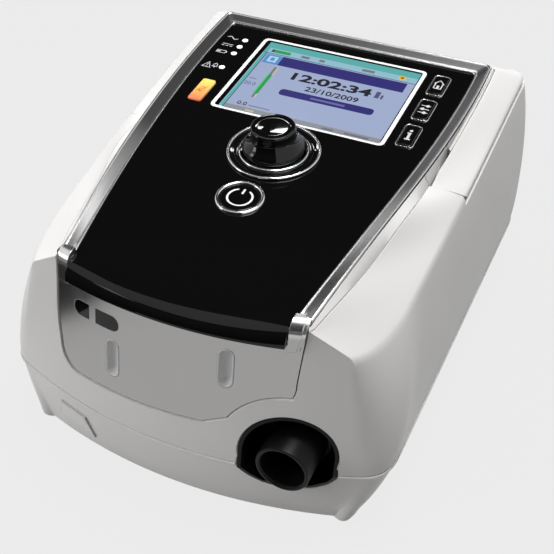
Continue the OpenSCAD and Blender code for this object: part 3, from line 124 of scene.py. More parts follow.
class Finish:
    """A material with one Principled BSDF, whose sockets are filled by name."""

    def __init__(self, name, **constants):
        self.material = bpy.data.materials.new(name)
        self.material.use_nodes = True
        self.tree = self.material.node_tree
        self.shader = self.tree.nodes["Principled BSDF"]
        self.set(**constants)
        self.place = self.node("ShaderNodeTexCoord", out="Object")

    def set(self, **values):
        """Fills sockets of the Principled BSDF; an underscore stands for a space in their names."""
        for name, value in values.items():
            plug(self.tree, self.shader.inputs[name.replace("_", " ")], value)

    def node(self, kind, settings=None, inputs=None, out=0):
        """Adds a node and gives back one of its outputs."""
        node = self.tree.nodes.new(kind)
        for name, value in (settings or {}).items():
            if name == "stops":
                ramp = node.color_ramp
                while len(ramp.elements) < len(value):
                    ramp.elements.new(0.5)
                for element, (at, colour) in zip(ramp.elements, value):
                    element.position, element.color = at, colour
            else:
                setattr(node, name, value)
        for name, value in (inputs or {}).items():
            plug(self.tree, node.inputs[name], value)
        return Wire(self.tree, node.outputs[out])

    def noise(self, scale, detail=2.0, roughness=0.5):
        inputs = {"Vector": self.place, "Scale": scale, "Detail": detail, "Roughness": roughness}
        return self.node("ShaderNodeTexNoise", {}, inputs)

    def mix(self, factor, a, b):
        return self.node("ShaderNodeMix", {"data_type": "RGBA"}, {0: factor, 6: a, 7: b}, out=2)

    def ramp(self, value, low, high):
        """0 below low, 1 above high, and straight between."""
        return self.node("ShaderNodeMapRange", {"clamp": True}, {"Value": value, "From Min": low, "From Max": high})

    def edges(self, radius):
        """The surface's direction, turned at sharp edges as if they were rounded with this radius."""
        return self.node("ShaderNodeBevel", {"samples": 4}, {"Radius": radius})

    def grain(self, height, strength, distance, radius=None):
        """Fine relief on the surface, over edges rounded in the shading."""
        inputs = {"Height": height, "Strength": strength, "Distance": distance}
        if radius:
            inputs["Normal"] = self.edges(radius)
        self.set(Normal=self.node("ShaderNodeBump", {}, inputs))


def grey(level):
    """A colour without a tint."""
    return (level, level, level, 1)


print("grey(0.5) is", grey(0.5))


# %% [markdown]
# ## The finishes
#
# The case is moulded in a warm pearl white: a pale plastic with fine spark-eroded grain, a slow drift of tone and
# a soft coat. The grain is a bump a few hundredths of a millimetre deep, and the drift keeps large faces from
# looking like a paint chip. Roughness varies with its own noise, as handling polishes some places.

# %% Pearl white plastic
def moulded(name, colour, drift, roughness, spread, grain_scale=2600.0, depth=2.2e-5, edge=0.0004, **constants):
    """Plastic whose tone, gloss and grain vary: drift and spread are how far they go either way."""
    finish = Finish(name, **constants)
    slow = finish.noise(9.0, 3.0)
    worn = finish.noise(46.0, 4.0, 0.6)
    dark = tuple(c * (1 - drift) for c in colour[:3]) + (1,)
    pale = tuple(min(1, c * (1 + drift)) for c in colour[:3]) + (1,)
    finish.set(Base_Color=finish.mix(finish.ramp(slow, 0.35, 0.65), dark, pale))
    finish.set(Roughness=roughness - spread + finish.ramp(worn, 0.3, 0.7) * (2 * spread))
    finish.grain(finish.noise(grain_scale, 2.0), 0.35, depth, edge)
    return finish


white = moulded("pearl_white", (0.80, 0.79, 0.775, 1), 0.018, 0.42, 0.05,
                Coat_Weight=0.08, Coat_Roughness=0.25, Specular_IOR_Level=0.35)
print(white.material.name, len(white.tree.nodes), "nodes")

# %% [markdown]
# The panel is a polished black acrylic over black paint: almost no colour, a mirror-smooth face, and only
# faint smears in its gloss. The knob and the keys are polished further, so that what they mirror stays crisp. The
# moulded blacks of the recess and the sockets are duller and have grain.

# %% Blacks
gloss_black = Finish("polished_black", Base_Color=grey(0.003), Specular_IOR_Level=0.3)
smear = gloss_black.ramp(gloss_black.noise(24.0, 5.0, 0.6), 0.45, 0.75)
gloss_black.set(Roughness=0.04 + smear * 0.05)
gloss_black.grain(gloss_black.noise(400.0, 2.0), 0.02, 1e-5, 0.0003)
moulded_black = moulded("moulded_black", grey(0.0025), 0.15, 0.42, 0.06, 1800.0, 2e-5, 0.0003,
                        Specular_IOR_Level=0.18)
moulded_grey = moulded("moulded_grey", grey(0.11), 0.08, 0.45, 0.06)
module_grey = moulded("module_grey", grey(0.22), 0.06, 0.4, 0.05)
rubber = moulded("rubber", grey(0.035), 0.12, 0.68, 0.08, 1500.0, 4e-5)
silicone = moulded("silicone", (0.55, 0.56, 0.55, 1), 0.04, 0.5, 0.06, Subsurface_Weight=0.2)
knob_black = Finish("knob_black", Base_Color=grey(0.003), Specular_IOR_Level=0.4)
knob_black.set(Roughness=0.015 + knob_black.ramp(knob_black.noise(60.0, 4.0), 0.4, 0.8) * 0.03)
knob_black.grain(knob_black.noise(300.0), 0.01, 2e-6, 0.0001)
print(len(bpy.data.materials), "materials with the blacks and the greys")

# %% [markdown]
# The rim is a vacuum-plated moulding, and its colour carries a painted reflection: the middle of the band is painted
# dark where it would mirror the dark room, darker towards the rear and fading out towards the front, while both edges
# stay bright. The plate on the front has a satin lacquer of the same silver. Which is which comes from two attributes
# of the rim's mesh: one for the painted reflection and one for the satin.

# %% Metals
def metal(name, colour, roughness, spread=0.05, scratch=900.0):
    """Metal with fine scratches, whose gloss goes up and down by spread."""
    finish = Finish(name, Base_Color=colour, Metallic=1.0)
    finish.set(Roughness=roughness - spread + finish.ramp(finish.noise(70.0, 5.0, 0.6), 0.3, 0.7) * (2 * spread))
    finish.grain(finish.noise(scratch, 3.0), 0.15, 6e-6, 0.0003)
    return finish


# The last of these three colours is the dark of the rim's painted reflection.
SATIN, BRIGHT, REFLECTION_DARK = (0.40, 0.395, 0.39, 1), (0.72, 0.72, 0.72, 1), (0.06, 0.06, 0.063, 1)
satin_silver = metal("satin_silver", SATIN, 0.22, 0.03, 2400.0)
slot_silver = moulded("slot_silver", grey(0.72), 0.03, 0.4, 0.05)
chrome = metal("chrome", (0.86, 0.86, 0.87, 1), 0.16, 0.03)
steel = metal("steel", (0.52, 0.52, 0.53, 1), 0.28)
supply_metal = metal("supply_metal", (0.42, 0.43, 0.45, 1), 0.38)
rim_silver = metal("rim_silver", BRIGHT, 0.24)
# The first attribute read here is the painted reflection: where it is 1, the rim is painted dark as if it mirrored the
# dark room.
reflection_mask = rim_silver.node("ShaderNodeAttribute", {"attribute_name": "smoke"}, out="Fac")
satined = rim_silver.node("ShaderNodeAttribute", {"attribute_name": "satin"}, out="Fac")
rim_silver.set(Base_Color=rim_silver.mix(reflection_mask, rim_silver.mix(satined, BRIGHT, SATIN), REFLECTION_DARK))
rim_silver.set(Roughness=0.24 + reflection_mask * 0.08, Metallic=1.0 - reflection_mask * 0.6)
print(len(bpy.data.materials), "materials with the metals")

# %% [markdown]
# Painted and lit things take their colours from the mesh: an attribute named paint holds one colour for every
# shape of a print or of the display's picture. The display glows by itself, so its colours go into emission.

# %% Prints and the display
def painted(name, roughness, glow=0.0):
    """A finish that takes its colour from the mesh's own paint."""
    finish = Finish(name, Coat_Weight=0.3)
    paint = finish.node("ShaderNodeAttribute", {"attribute_name": "paint"}, out="Color")
    speck = finish.ramp(finish.noise(3000.0, 1.0), 0.3, 0.7)
    finish.set(Roughness=roughness + speck * 0.05)
    if glow:
        finish.set(Emission_Color=paint, Base_Color=grey(0.01), Emission_Strength=glow)
    else:
        finish.set(Base_Color=finish.mix(speck * 0.06, paint, grey(0.3)))
    return finish


print_ink = painted("print_ink", 0.35)
display_light = painted("display_light", 0.2, 0.92)
lamp_white = Finish("lamp_white", Base_Color=grey(0.8), Emission_Strength=0.75)
lamp_white.set(Emission_Color=lamp_white.mix(lamp_white.ramp(lamp_white.noise(900.0), 0.2, 0.8), grey(0.9), grey(1.0)))
lamp_white.set(Roughness=0.2 + lamp_white.noise(400.0) * 0.1)
print(len(bpy.data.materials), "materials with the prints and the lights")

# %% [markdown]
# The alarm mute key is a translucent key lit from below, yellow towards the rear and orange towards the front.
# The small boards, the battery's wrap, the fleece of the filter and the rest get plain workshop finishes.

# %% Other finishes
key_orange = Finish("key_orange", Coat_Weight=0.6, Coat_Roughness=0.08, Subsurface_Weight=0.15, Emission_Strength=0.35)
along = key_orange.node("ShaderNodeSeparateXYZ", {}, {"Vector": key_orange.place}, out="Y")
warmth = key_orange.ramp(along, 0.005, 0.022)
tone = key_orange.mix(warmth, (0.84, 0.17, 0.08, 1), (0.92, 0.66, 0.14, 1))
key_orange.set(Base_Color=tone, Emission_Color=tone, Roughness=0.22 + key_orange.noise(300.0) * 0.1)
board_green = moulded("board_green", (0.012, 0.09, 0.035, 1), 0.15, 0.35, 0.08, 700.0, 3e-5)
battery_blue = moulded("battery_blue", (0.03, 0.09, 0.28, 1), 0.08, 0.3, 0.06)
fleece = moulded("filter_fleece", (0.72, 0.76, 0.80, 1), 0.06, 0.9, 0.05, 1400.0, 4e-4)

FINISH_OF_SLOT = {
    "case_white": white, "trim_silver": satin_silver, "panel_black": gloss_black, "window_clear": gloss_black,
    "module_grey": module_grey, "board_green": board_green, "ring_chrome": chrome, "knob_black": knob_black,
    "steel": steel, "key_black": knob_black, "key_orange": key_orange, "rubber_grey": rubber, "silicone": silicone,
    "light_white": lamp_white, "moulding_black": moulded_black, "moulding_grey": moulded_grey,
    "filter_fleece": fleece, "battery_blue": battery_blue, "supply_metal": supply_metal,
}
for part in frame["record"]["subparts"]:
    node = frame["nodes"][part["node"]]
    for slot in node.material_slots:
        slot.material = FINISH_OF_SLOT[part["material_slot"]].material
print(len(FINISH_OF_SLOT), "finishes on", len(frame["nodes"]), "CAD nodes")

# %% [markdown]
# ## Meshes from arrays
#
# Each new piece is a grid of points that numpy works out at once. Three helpers are enough: one numbers the faces
# of a grid, one turns points and faces into a finished piece, and one cuts a piece with others. Points are in
# millimetres, because the drawing is, and become metres when the mesh is made.

# %% Grid, piece and cut
MM = 0.001


def grid_faces(rows, cols, close_rows=False, close_cols=False, start=0):
    """Quads of a grid of points that are numbered row by row; a closed direction joins its last line to its first."""
    r, c = np.meshgrid(np.arange(rows - (not close_rows)), np.arange(cols - (not close_cols)), indexing="ij")
    nr, nc = (r + 1) % rows, (c + 1) % cols
    return (np.stack([r * cols + c, r * cols + nc, nr * cols + nc, nr * cols + c], -1).reshape(-1, 4) + start).tolist()


def raw(name, points, faces, merge=0.0):
    """An object from points in millimetres, with its faces turned outwards."""
    mesh = bpy.data.meshes.new(name)
    mesh.from_pydata((np.asarray(points, float).reshape(-1, 3) * MM).tolist(), [], faces)
    work = bmesh.new()
    work.from_mesh(mesh)
    if merge:
        bmesh.ops.remove_doubles(work, verts=work.verts, dist=merge * MM)
    bmesh.ops.recalc_face_normals(work, faces=work.faces)
    work.to_mesh(mesh)
    work.free()
    obj = bpy.data.objects.new(name, mesh)
    scene.collection.objects.link(obj)
    return obj


def cut(obj, tools, how="DIFFERENCE"):
    """obj after each tool has been taken away from it, or kept as the common part; the tools are used up."""
    for tool in tools:
        change = obj.modifiers.new("cut", "BOOLEAN")
        change.operation, change.object, change.solver = how, tool, "MANIFOLD"
    result = bpy.data.meshes.new_from_object(obj.evaluated_get(bpy.context.evaluated_depsgraph_get()))
    obj.modifiers.clear()
    old, obj.data = obj.data, result
    bpy.data.meshes.remove(old)
    for tool in tools:
        bpy.data.meshes.remove(tool.data)
    if not len(result.polygons):
        raise ValueError(obj.name + " has nothing left")
    return obj


def finished(obj, finish, body="housing", stands_for=(), sharp=35):
    """Gives a piece its finish, its body and smooth shading up to an angle in degrees, and hides the CAD parts it
    stands for.
    """
    obj.data.shade_smooth()
    obj.data.set_sharp_from_angle(angle=math.radians(sharp))
    obj.data.materials.clear()
    obj.data.materials.append(finish.material)
    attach(obj, body)
    if stands_for:
        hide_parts(*stands_for)
    print(obj.name, len(obj.data.polygons), "faces")
    return obj


# %% [markdown]
# ## The lines of the case
#
# The case is drawn with a handful of lines that run round it: the footprint, the seam between its two halves, the
# side edge, and the rim of the panel. Each is a half loop from the middle of the front, round the corner, along
# the side and round to the middle of the back. Heights and widths of the side edge and the rim follow smooth
# curves through four stations. The values are the drawing's own.

# %% Values of the drawing
SEAM_HALF, FRONT, REAR, SEAM_Z = 85.0, 117.0, 116.0, 28.6
SEAM_FALL = math.tan(math.radians(0.7))
BOW_R = 178.6
BOW = 1 / (2 * BOW_R)
LEAN_ANGLE = math.radians(7.9)
LEAN = math.tan(LEAN_ANGLE)
FOOT_HALF, FOOT_SET, FOOT_BOW, BASE_Z, WALL, SEAM_INSET = 73.0, 5.8, 0.86, 1.5, 2.5, 0.8
STATIONS = np.array([-100.0, -40.0, 20.0, 80.0])
CREASE_X = np.polyfit(STATIONS, [74.1, 77.5, 79.0, 79.5], 3)
CREASE_Z = np.polyfit(STATIONS, [77.0, 89.3, 99.4, 107.4], 3)
RIM_X = np.polyfit(STATIONS, [50.6, 59.0, 65.1, 65.8], 3)
SLOPE = math.tan(math.radians(5.04))
PANEL_Z, BEND_Y, BEND_R, RIM_STEP, RIM_BEND_R = 108.0, -29.4, 780.0, 2.5, 444.0
FOLD_Z, GROOVE, STRIP_OUT, BAND_W, SET_GAP = 95.0, 3.2, 1.4, 5.7, 0.2
RIM_FRONT, RIM_REAR, RIM_TURN = -98.4, 77.1, 2.2
STRIP = np.array([[-100, 2.5], [-62, 9], [-37, 8], [-7, 7], [3, 5], [23, 1.8], [80, 1.5]], float)
WIDEST, WIDEN = 2.3, np.array([[-100, 0.15], [-80, 0.75], [-55, 1], [-22, 1], [-6, 0.2], [-1, 0], [80, 0]], float)
TAPER = np.array([[0, 0], [0.17, 0.17], [0.38, 0.47], [0.52, 0.63], [0.77, 0.86], [1, 1]])


def eased(x, knots):
    """A smooth curve through knots: on each stretch a cubic whose end slopes are the mean slopes either side."""
    xs, ys = knots[:, 0], knots[:, 1]
    slopes = np.gradient(ys, xs)
    x = np.clip(x, xs[0], xs[-1])
    i = np.clip(np.searchsorted(xs, x) - 1, 0, len(xs) - 2)
    w = xs[i + 1] - xs[i]
    t = (x - xs[i]) / w
    return ((2 * t**3 - 3 * t**2 + 1) * ys[i] + (t**3 - 2 * t**2 + t) * w * slopes[i]
            + (3 * t**2 - 2 * t**3) * ys[i + 1] + (t**3 - t**2) * w * slopes[i + 1])


def seam_z(y): return SEAM_Z - SEAM_FALL * y
def panel_z(y): return PANEL_Z + SLOPE * y - np.maximum(0, BEND_Y - y) ** 2 / (2 * BEND_R)
def panel_angle(y): return math.atan(SLOPE + max(0, BEND_Y - y) / BEND_R)
def rim_z(y): return PANEL_Z + RIM_STEP + SLOPE * y - np.maximum(0, BEND_Y - y) ** 2 / (2 * RIM_BEND_R)
def rim_x(y): return np.polyval(RIM_X, y)
def crease_x(y): return np.polyval(CREASE_X, np.minimum(y, 80))
def crease_z(y): return np.polyval(CREASE_Z, np.minimum(y, 90))
def ledge_z(y): return crease_z(y) - GROOVE
def widened(y): return WIDEST * eased(y, WIDEN)
def strip_z(y): return rim_z(y) - eased(y, STRIP) + 1.75 * widened(y)
def front_y(x, z): return (z - SEAM_Z) * LEAN + BOW * x * x - FRONT


print("side edge at the rear", round(float(crease_x(80)), 1), round(float(crease_z(80)), 1))

# %% [markdown]
# A half loop has five stretches: the front, the front corner, the side, the rear corner and the back. Each has a
# fixed number of points, so the same point of two lines always lies side by side, and a surface between two lines
# is only a blend of their numbers.

# %% Half loops
N_FRONT, N_CORNER, N_SIDE, N_REAR, N_BACK = 24, 16, 44, 16, 18


def stack(x, y, z):
    """Points from three numbers or lists of numbers, with x, y and z side by side in the last axis."""
    return np.stack(np.broadcast_arrays(x, y, z), -1).astype(float)


def steps(n):
    """n even steps from 0 up to, but without, 1."""
    return np.arange(n) / n


def turn_through(a, b, c, n):
    """n points of the curve that leaves a towards b and arrives at c from b."""
    t = steps(n)[:, None]
    a, b, c = (np.array(p, float) for p in (a, b, c))
    return a * (1 - t) ** 2 + 2 * b * t * (1 - t) + c * t**2


def seam_half(d, dz):
    """Half of the seam line, moved in by d and up by dz."""
    w, tx, sy, ry, rx, r = SEAM_HALF - d, 75 - d, -85.4, 89.6, 62.0, REAR - d
    f = lambda x: front_y(x, SEAM_Z) + d
    x = tx * steps(N_FRONT)
    y = sy + (ry - sy) * steps(N_SIDE)
    bx = rx * (1 - np.arange(N_BACK + 1) / N_BACK)
    return np.concatenate([
        stack(x, f(x), seam_z(f(x)) + dz),
        turn_through((tx, f(tx), seam_z(f(tx)) + dz), (w - 0.3, f(w) - 0.8, seam_z(f(w)) + dz),
                     (w, sy, seam_z(sy) + dz), N_CORNER),
        stack(w, y, seam_z(y) + dz),
        turn_through((w, ry, seam_z(ry) + dz), (w, r - 6, seam_z(r) + dz), (rx, r - 3, seam_z(r) + dz), N_REAR),
        stack(bx, r - 3 * (bx / rx) ** 2, seam_z(r) + dz),
    ])


def crease_half(d, dz):
    """Half of the side edge, moved in by d and down by dz."""
    tx, sy, ry, rx, r = 67 - d, -66.4, 86.6, 71 - d, 96.1 - d
    zf = lambda x: FOLD_Z - 2.5 - 0.62 * np.maximum(0, x + d - 53) - dz
    f = lambda x: front_y(x, zf(x) + dz) + d
    x = tx * steps(N_FRONT)
    y = sy + (ry - d - sy) * steps(N_SIDE)
    bx = rx * (1 - np.arange(N_BACK + 1) / N_BACK)
    return np.concatenate([
        stack(x, f(x), zf(x)),
        turn_through((tx, f(tx), zf(tx)), (73.6 - d, -87.4 + d, 80.2 - dz),
                     (crease_x(sy) - d, sy, crease_z(sy) - dz), N_CORNER),
        stack(crease_x(y) - d, y, crease_z(y) - dz),
        turn_through((crease_x(ry) - d, ry - d, crease_z(ry) - dz), (crease_x(ry) - d, r, 109 - dz),
                     (rx, r, 107.5 - dz), N_REAR),
        stack(bx, r, 107.5 - dz),
    ])


def rim_half(d, height):
    """Half of the rim's line, moved out by d; height gives z for each y."""
    r = RIM_REAR + d
    tx, sy, ry, rx = 50.0, RIM_FRONT, r - RIM_TURN, float(rim_x(RIM_REAR)) - RIM_TURN + d
    x = tx * steps(N_FRONT)
    y = sy + (ry - sy) * steps(N_SIDE)
    a = np.array([tx + d, front_y(tx, FOLD_Z), height(sy)])
    c = np.array([rim_x(sy) + d, sy, height(sy)])
    bx = rx * (1 - np.arange(N_BACK + 1) / N_BACK)
    return np.concatenate([
        stack((tx + d) * steps(N_FRONT), front_y(x, FOLD_Z), height(sy)),
        a + (c - a) * steps(N_CORNER)[:, None],
        stack(rim_x(y) + d, y, height(y)),
        turn_through((rim_x(ry) + d, ry, height(ry)), (rim_x(ry) + d, r, height(RIM_REAR)),
                     (rx, r, height(RIM_REAR)), N_REAR),
        stack(bx, r, height(RIM_REAR)),
    ])


def foot_half(d, z):
    """Half of the footprint, moved in by d, at height z."""
    w, tx, sy, ry, rx, r = FOOT_HALF - d, 66 - d, -92.0, 88.0, 58 - d, REAR - 9 - d
    f = lambda x: FOOT_SET - FRONT + d + FOOT_BOW * BOW * x * x
    x = tx * steps(N_FRONT)
    bx = rx * (1 - np.arange(N_BACK + 1) / N_BACK)
    return np.concatenate([
        stack(x, f(x), z),
        turn_through((tx, f(tx), z), (w, -105, z), (w, sy, z), N_CORNER),
        stack(w, sy + (ry - sy) * steps(N_SIDE), z),
        turn_through((w, ry, z), (w, r, z), (rx, r, z), N_REAR),
        stack(bx, r, z),
    ])


def whole(half):
    """Both halves of a loop, from the middle of the front all the way round."""
    return np.concatenate([half, half[-2:0:-1] * [-1, 1, 1]])


print("points round the case:", len(whole(seam_half(0, 0))))

# %% [markdown]
# ## The upper case
#
# The shell is one closed surface: it goes up the wall, rounds the side edge, runs over the sloping facet to the
# steep strip beside the rim, and comes back down inside, 2.5 mm further in. Between the seam and the side edge the
# wall bulges a little, most at the back. Because all loops have the same number of points, the whole shell is one
# grid that closes on itself both ways, and only the openings are left to cut.

# %% Walls of the upper case
def bulge(full):
    """How far the wall stands out half way up, for each point of the seam line."""
    x, y = full[:, 0], full[:, 1]
    side = np.clip((x - 70) / 12, 0, 1)
    corner = 2.3 * np.exp(-(((y + 90.4) / 14) ** 2)) * np.clip((x - 60) / 20, 0, 1)
    out = side * (0.85 + 1.2 * (y + 100) / 200) + corner
    rear = np.where(y > 58, 8.6 * np.clip((y - 82.6) / 28, 0, 1), 0)
    return stack(out, rear, 0)


def wall_half(v, d):
    """Half loop at fraction v of the way from the seam to the side edge, moved in by d; v may differ per point."""
    v = np.broadcast_to(v, (len(seam_half(0, 0)),))[:, None]
    low, high = seam_half(d, 0), crease_half(d, 0)
    return low + (high - low) * v + bulge(seam_half(0, 0)) * 4 * v * (1 - v)


def unit(v):
    """Vectors of length 1 that point the same way."""
    return v / np.maximum(np.linalg.norm(v, axis=-1, keepdims=True), 1e-9)


def bend(a, b, c, n):
    """n loops that round the edge b between the loops a and c."""
    return [a * (1 - t) ** 2 + 2 * b * t * (1 - t) + c * t * t for t in np.linspace(0, 1, n)]


EDGE_R = 2.6
low, high = seam_half(0, 0), crease_half(0, 0)
strip_foot = rim_half(STRIP_OUT, strip_z)
strip_foot[:, 0] += widened(strip_foot[:, 1]) * np.clip(strip_foot[:, 0] / 50, 0, 1)
strip_top = rim_half(0.5, lambda y: rim_z(y) - 0.9)
last_v = 1 - EDGE_R / np.linalg.norm(high - low, axis=1)
facet = unit(strip_foot - high)
facet_length = np.linalg.norm(strip_foot - high, axis=1, keepdims=True)
round_off = np.minimum(EDGE_R, facet_length * 0.3)
outside = [seam_half(d, dz) for d, dz in ((0.9, 0.15), (0.62, 0.2), (0.52, 0.45))]
outside += [wall_half(v, d) for v, d in ((0.02, 0.45), (0.05, 0.22), (0.1, 0.05))]
outside += [wall_half(0.14 + (last_v - 0.14) * v, 0) for v in np.linspace(0, 1, 14)]
outside += bend(wall_half(last_v, 0), high, high + facet * round_off, 7)[1:]
outside += [high + facet * (round_off + (facet_length - round_off - 0.5) * t) for t in np.linspace(0, 1, 8)[1:]]
rise = unit(strip_top - strip_foot)
outside += [strip_foot - facet * 0.3, strip_foot - facet * 0.22 - [0, 0, 0.5]]
outside += [strip_foot + rise * 0.2 - [0, 0, 0.55], strip_foot + rise * 0.3]
outside += [strip_top + (strip_foot - strip_top) * 0.3, strip_top]
outside += [rim_half(0.4, lambda y: rim_z(y) - 1.1), rim_half(0.4, lambda y: rim_z(y) - 2.6)]
inside = [rim_half(-1, lambda y: rim_z(y) - 2.6), rim_half(-1, lambda y: ledge_z(y) - WALL)]
inside += [crease_half(WALL, GROOVE + WALL)]
inside += [wall_half(v, WALL) for v in (0.85, 0.6, 0.35, 0.12)] + [seam_half(WALL, 0.15)]
loops = np.array([whole(h) for h in outside + inside])
upper = raw("upper_case_skin", loops, grid_faces(len(loops), loops.shape[1], True, True))
print("upper case:", loops.shape[0], "loops of", loops.shape[1])

# %% [markdown]
# ## Tools that cut the openings
#
# An opening is cut with a closed block whose outline is the opening's. Where the opening's edge should catch the
# light, the block flares close to the case's face, and leaves a narrow chamfer all round. The outlines are lists
# of corners; corners that are round on the real thing are rounded here.

# %% Outlines and cutting blocks
def arc(cx, cz, r, first, last, n):
    """n points on a circle, from one angle to another in degrees."""
    a = np.radians(np.linspace(first, last, n))
    return np.stack([cx + r * np.cos(a), cz + r * np.sin(a)], -1)


def rounded(corners, radii, n=6):
    """A closed outline whose corners are replaced by curves that start a radius before and end a radius after."""
    p = np.array(corners, float)
    before, after = unit(np.roll(p, 1, 0) - p), unit(np.roll(p, -1, 0) - p)
    r = np.broadcast_to(radii, len(p))[:, None]
    t = np.linspace(0, 1, n)[None, :, None]
    a, b, c = (p + before * r)[:, None], p[:, None], (p + after * r)[:, None]
    return (a * (1 - t) ** 2 + 2 * b * t * (1 - t) + c * t * t).reshape(-1, 2)


def grown(outline, g):
    """An outline moved outwards by g: each point goes along the mean of its two sides' directions out."""
    edge = unit(np.roll(outline, -1, 0) - outline)
    out = np.stack([edge[:, 1], -edge[:, 0]], -1)
    mean = unit(out + np.roll(out, 1, 0))
    lengthen = 1 / np.maximum((mean * out).sum(1, keepdims=True), 0.5)
    area = (outline[:, 0] * np.roll(outline[:, 1], -1) - np.roll(outline[:, 0], -1) * outline[:, 1]).sum()
    return outline + mean * lengthen * g * np.sign(area)


def block(rings, name="tool"):
    """A closed solid through rings of points, with a flat face on each end."""
    rings = np.array(rings, float)
    m, n = rings.shape[:2]
    ends = [list(range(n)), list(range((m - 1) * n, m * n))]
    return raw(name, rings, grid_faces(m, n, False, True) + ends)


def face_y(x, z):
    """Where the front face is: the upper case's above the seam, the lower case's below."""
    k = eased(np.clip((z - BASE_Z) / (SEAM_Z - BASE_Z), 0, 1), TAPER)
    foot = FOOT_SET - FRONT + FOOT_BOW * BOW * x * x
    tub = foot + (SEAM_INSET + BOW * x * x - FRONT - foot) * k
    return np.where(z > seam_z(-110.0), front_y(x, np.minimum(z, 98)), tub)


def front_block(outline, g, deep, chamfer=0.0, out=-140.0, steep=1.0):
    """A block through the front face, from y = deep to y = out, flared by a chamfer where it meets the face."""
    ring = lambda o, y: stack(o[:, 0], y, o[:, 1])
    inner = grown(outline, g)
    if not chamfer:
        return block([ring(inner, deep), ring(inner, out)])
    wide = grown(outline, g + chamfer)
    return block([
        ring(inner, deep), ring(inner, face_y(inner[:, 0], inner[:, 1]) + chamfer * steep),
        ring(wide, face_y(wide[:, 0], wide[:, 1]) - 0.02), ring(grown(outline, g + chamfer + 0.05), out),
    ])


def box_block(low_corner, high_corner, matrix=None):
    """A plain block between two corners, turned by a matrix."""
    (x0, y0, z0), (x1, y1, z1) = low_corner, high_corner
    rings = np.array([[(x0, y0, z), (x1, y0, z), (x1, y1, z), (x0, y1, z)] for z in (z0, z1)], float)
    if matrix is not None:
        rings = rings @ np.array(matrix.to_3x3()).T + np.array(matrix.translation)
    return block(rings)


PLATE_HALF, PLATE_LOW = 52.5, 45.0
OUTLET_X, OUTLET_Z = 48.0, 35.0
bite = arc(OUTLET_X, OUTLET_Z + 2, 27.5, 149.6, 90, 26)
bite[-1] = (OUTLET_X - 0.2, OUTLET_Z + 29.5)
plate_line = np.concatenate([
    rounded([(-PLATE_HALF, FOLD_Z + 20), (-PLATE_HALF, 66), (-50.4, 50.0), (-45.4, PLATE_LOW), (-12, PLATE_LOW),
             (17, 46.6)], [0.1, 6, 3.4, 3.4, 12, 3], 9)[:-4],
    bite,
    rounded([(OUTLET_X, OUTLET_Z + 29.5), (PLATE_HALF - 3.8, 68), (PLATE_HALF - 3.8, 71), (PLATE_HALF - 3, 81.5),
             (PLATE_HALF - 1.9, FOLD_Z), (PLATE_HALF - 1.9, FOLD_Z + 20)], [0.05, 1.2, 1.2, 5, 5, 0.1])[6:],
])
recess_line = np.concatenate([
    arc(0, 2, 18.5, 180, 0, 48),
    rounded([(18.5, -2), (18.5, -7), (15, -11), (9, -14.6), (-9, -14.6), (-14.2, -11.4), (-18.5, -7), (-18.5, -2)],
            [0.5, 1.6, 1.6, 2.5, 2.5, 1.6, 1.6, 0.5]),
]) + [OUTLET_X, OUTLET_Z]
rear_line = rounded([(-64, 34), (64, 34), (64, 72), (-64, 72)], 5.5)
print("outlines:", len(plate_line), len(recess_line), len(rear_line), "points")

# %% [markdown]
# Three more tools: a rail takes the part of a line that runs round the back, a turned solid comes from a profile
# and an axis, and the end of the handle's arm is such a solid. It grows wider towards the rim, so it meets the
# sloping facet on one straight seam, and the arm can still swing in it.

# %% Rails, turned solids and the arm's end
def between(low_corner, high_corner, t):
    """Part of the way from one point or number to another."""
    return low_corner + (high_corner - low_corner) * t


def rail(half, y0):
    """The part of a half loop that lies behind y0, and its mirror image: one line from side to side round the back."""
    turn = N_FRONT + N_CORNER + N_SIDE
    side = half[N_FRONT:turn + 1]
    y = between(y0, half[turn, 1], steps(N_SIDE))
    start = stack(np.interp(y, side[:, 1], side[:, 0]), y, np.interp(y, side[:, 1], side[:, 2]))
    one = np.concatenate([start, half[turn:]])
    return np.concatenate([one, one[-2::-1] * [-1, 1, 1]])


def turned(name, profile, matrix=None, n=96, ring=False):
    """A solid of revolution: profile rows are (radius, height), and each point runs round the local Z axis.

    A profile that starts and ends on the axis gives a closed solid; a ring's profile closes on itself instead."""
    p = np.array(profile, float)
    a = np.arange(n) * 2 * math.pi / n
    points = stack(p[:, :1] * np.cos(a), p[:, :1] * np.sin(a), p[:, 1:])
    if matrix is not None:
        points = points @ np.array(matrix.to_3x3()).T + np.array(matrix.translation)
    return raw(name, points, grid_faces(len(p), n, ring, True), merge=0.0005)


HANDLE_Y, PIVOT_BACK, PIVOT_Z, HANDLE_GAP = -0.4, 5.0, 99.5, 0.4
PIVOT_Y = HANDLE_Y + PIVOT_BACK


def arm_disc(gap, sign):
    """The rounded end of one of the handle's arms, turned about the pivot, with a gap round it."""
    inner, outer = float(rim_x(PIVOT_Y)) + STRIP_OUT + 0.3, float(crease_x(PIVOT_Y)) + 0.6

    def reach(x):
        """The radius that meets the facet at x on the cross seam, which runs forward towards the rim."""
        y = 1.2 - 0.72 * (float(crease_x(0.0)) - x)
        edge_x, foot_x = float(crease_x(y)), float(rim_x(y)) + STRIP_OUT
        z = between(float(crease_z(y)), float(strip_z(y)), (edge_x - x) / (edge_x - foot_x))
        return math.hypot(PIVOT_Y - y, z - PIVOT_Z) + gap

    across_arm = Matrix.Translation((0, PIVOT_Y, PIVOT_Z)) @ Matrix.Rotation(math.radians(90 * sign), 4, "Y")
    profile = [(0, inner - gap), (reach(inner), inner - gap)]
    profile += [(reach(x), x) for x in (inner + 3, inner + 6, inner + 9, inner + 12, outer)]
    return turned("tool", profile + [(0, outer)], across_arm, 192)


print("the handle turns about y", PIVOT_Y, "z", PIVOT_Z)

# %% [markdown]
# Now the openings are cut: the handle's channel with the round ends of its arms, the rear panel's opening, the
# filter's opening on the left, the front plate's bed and the outlet's recess. Two slits carry the cross seam over
# the steep strip to the rim.

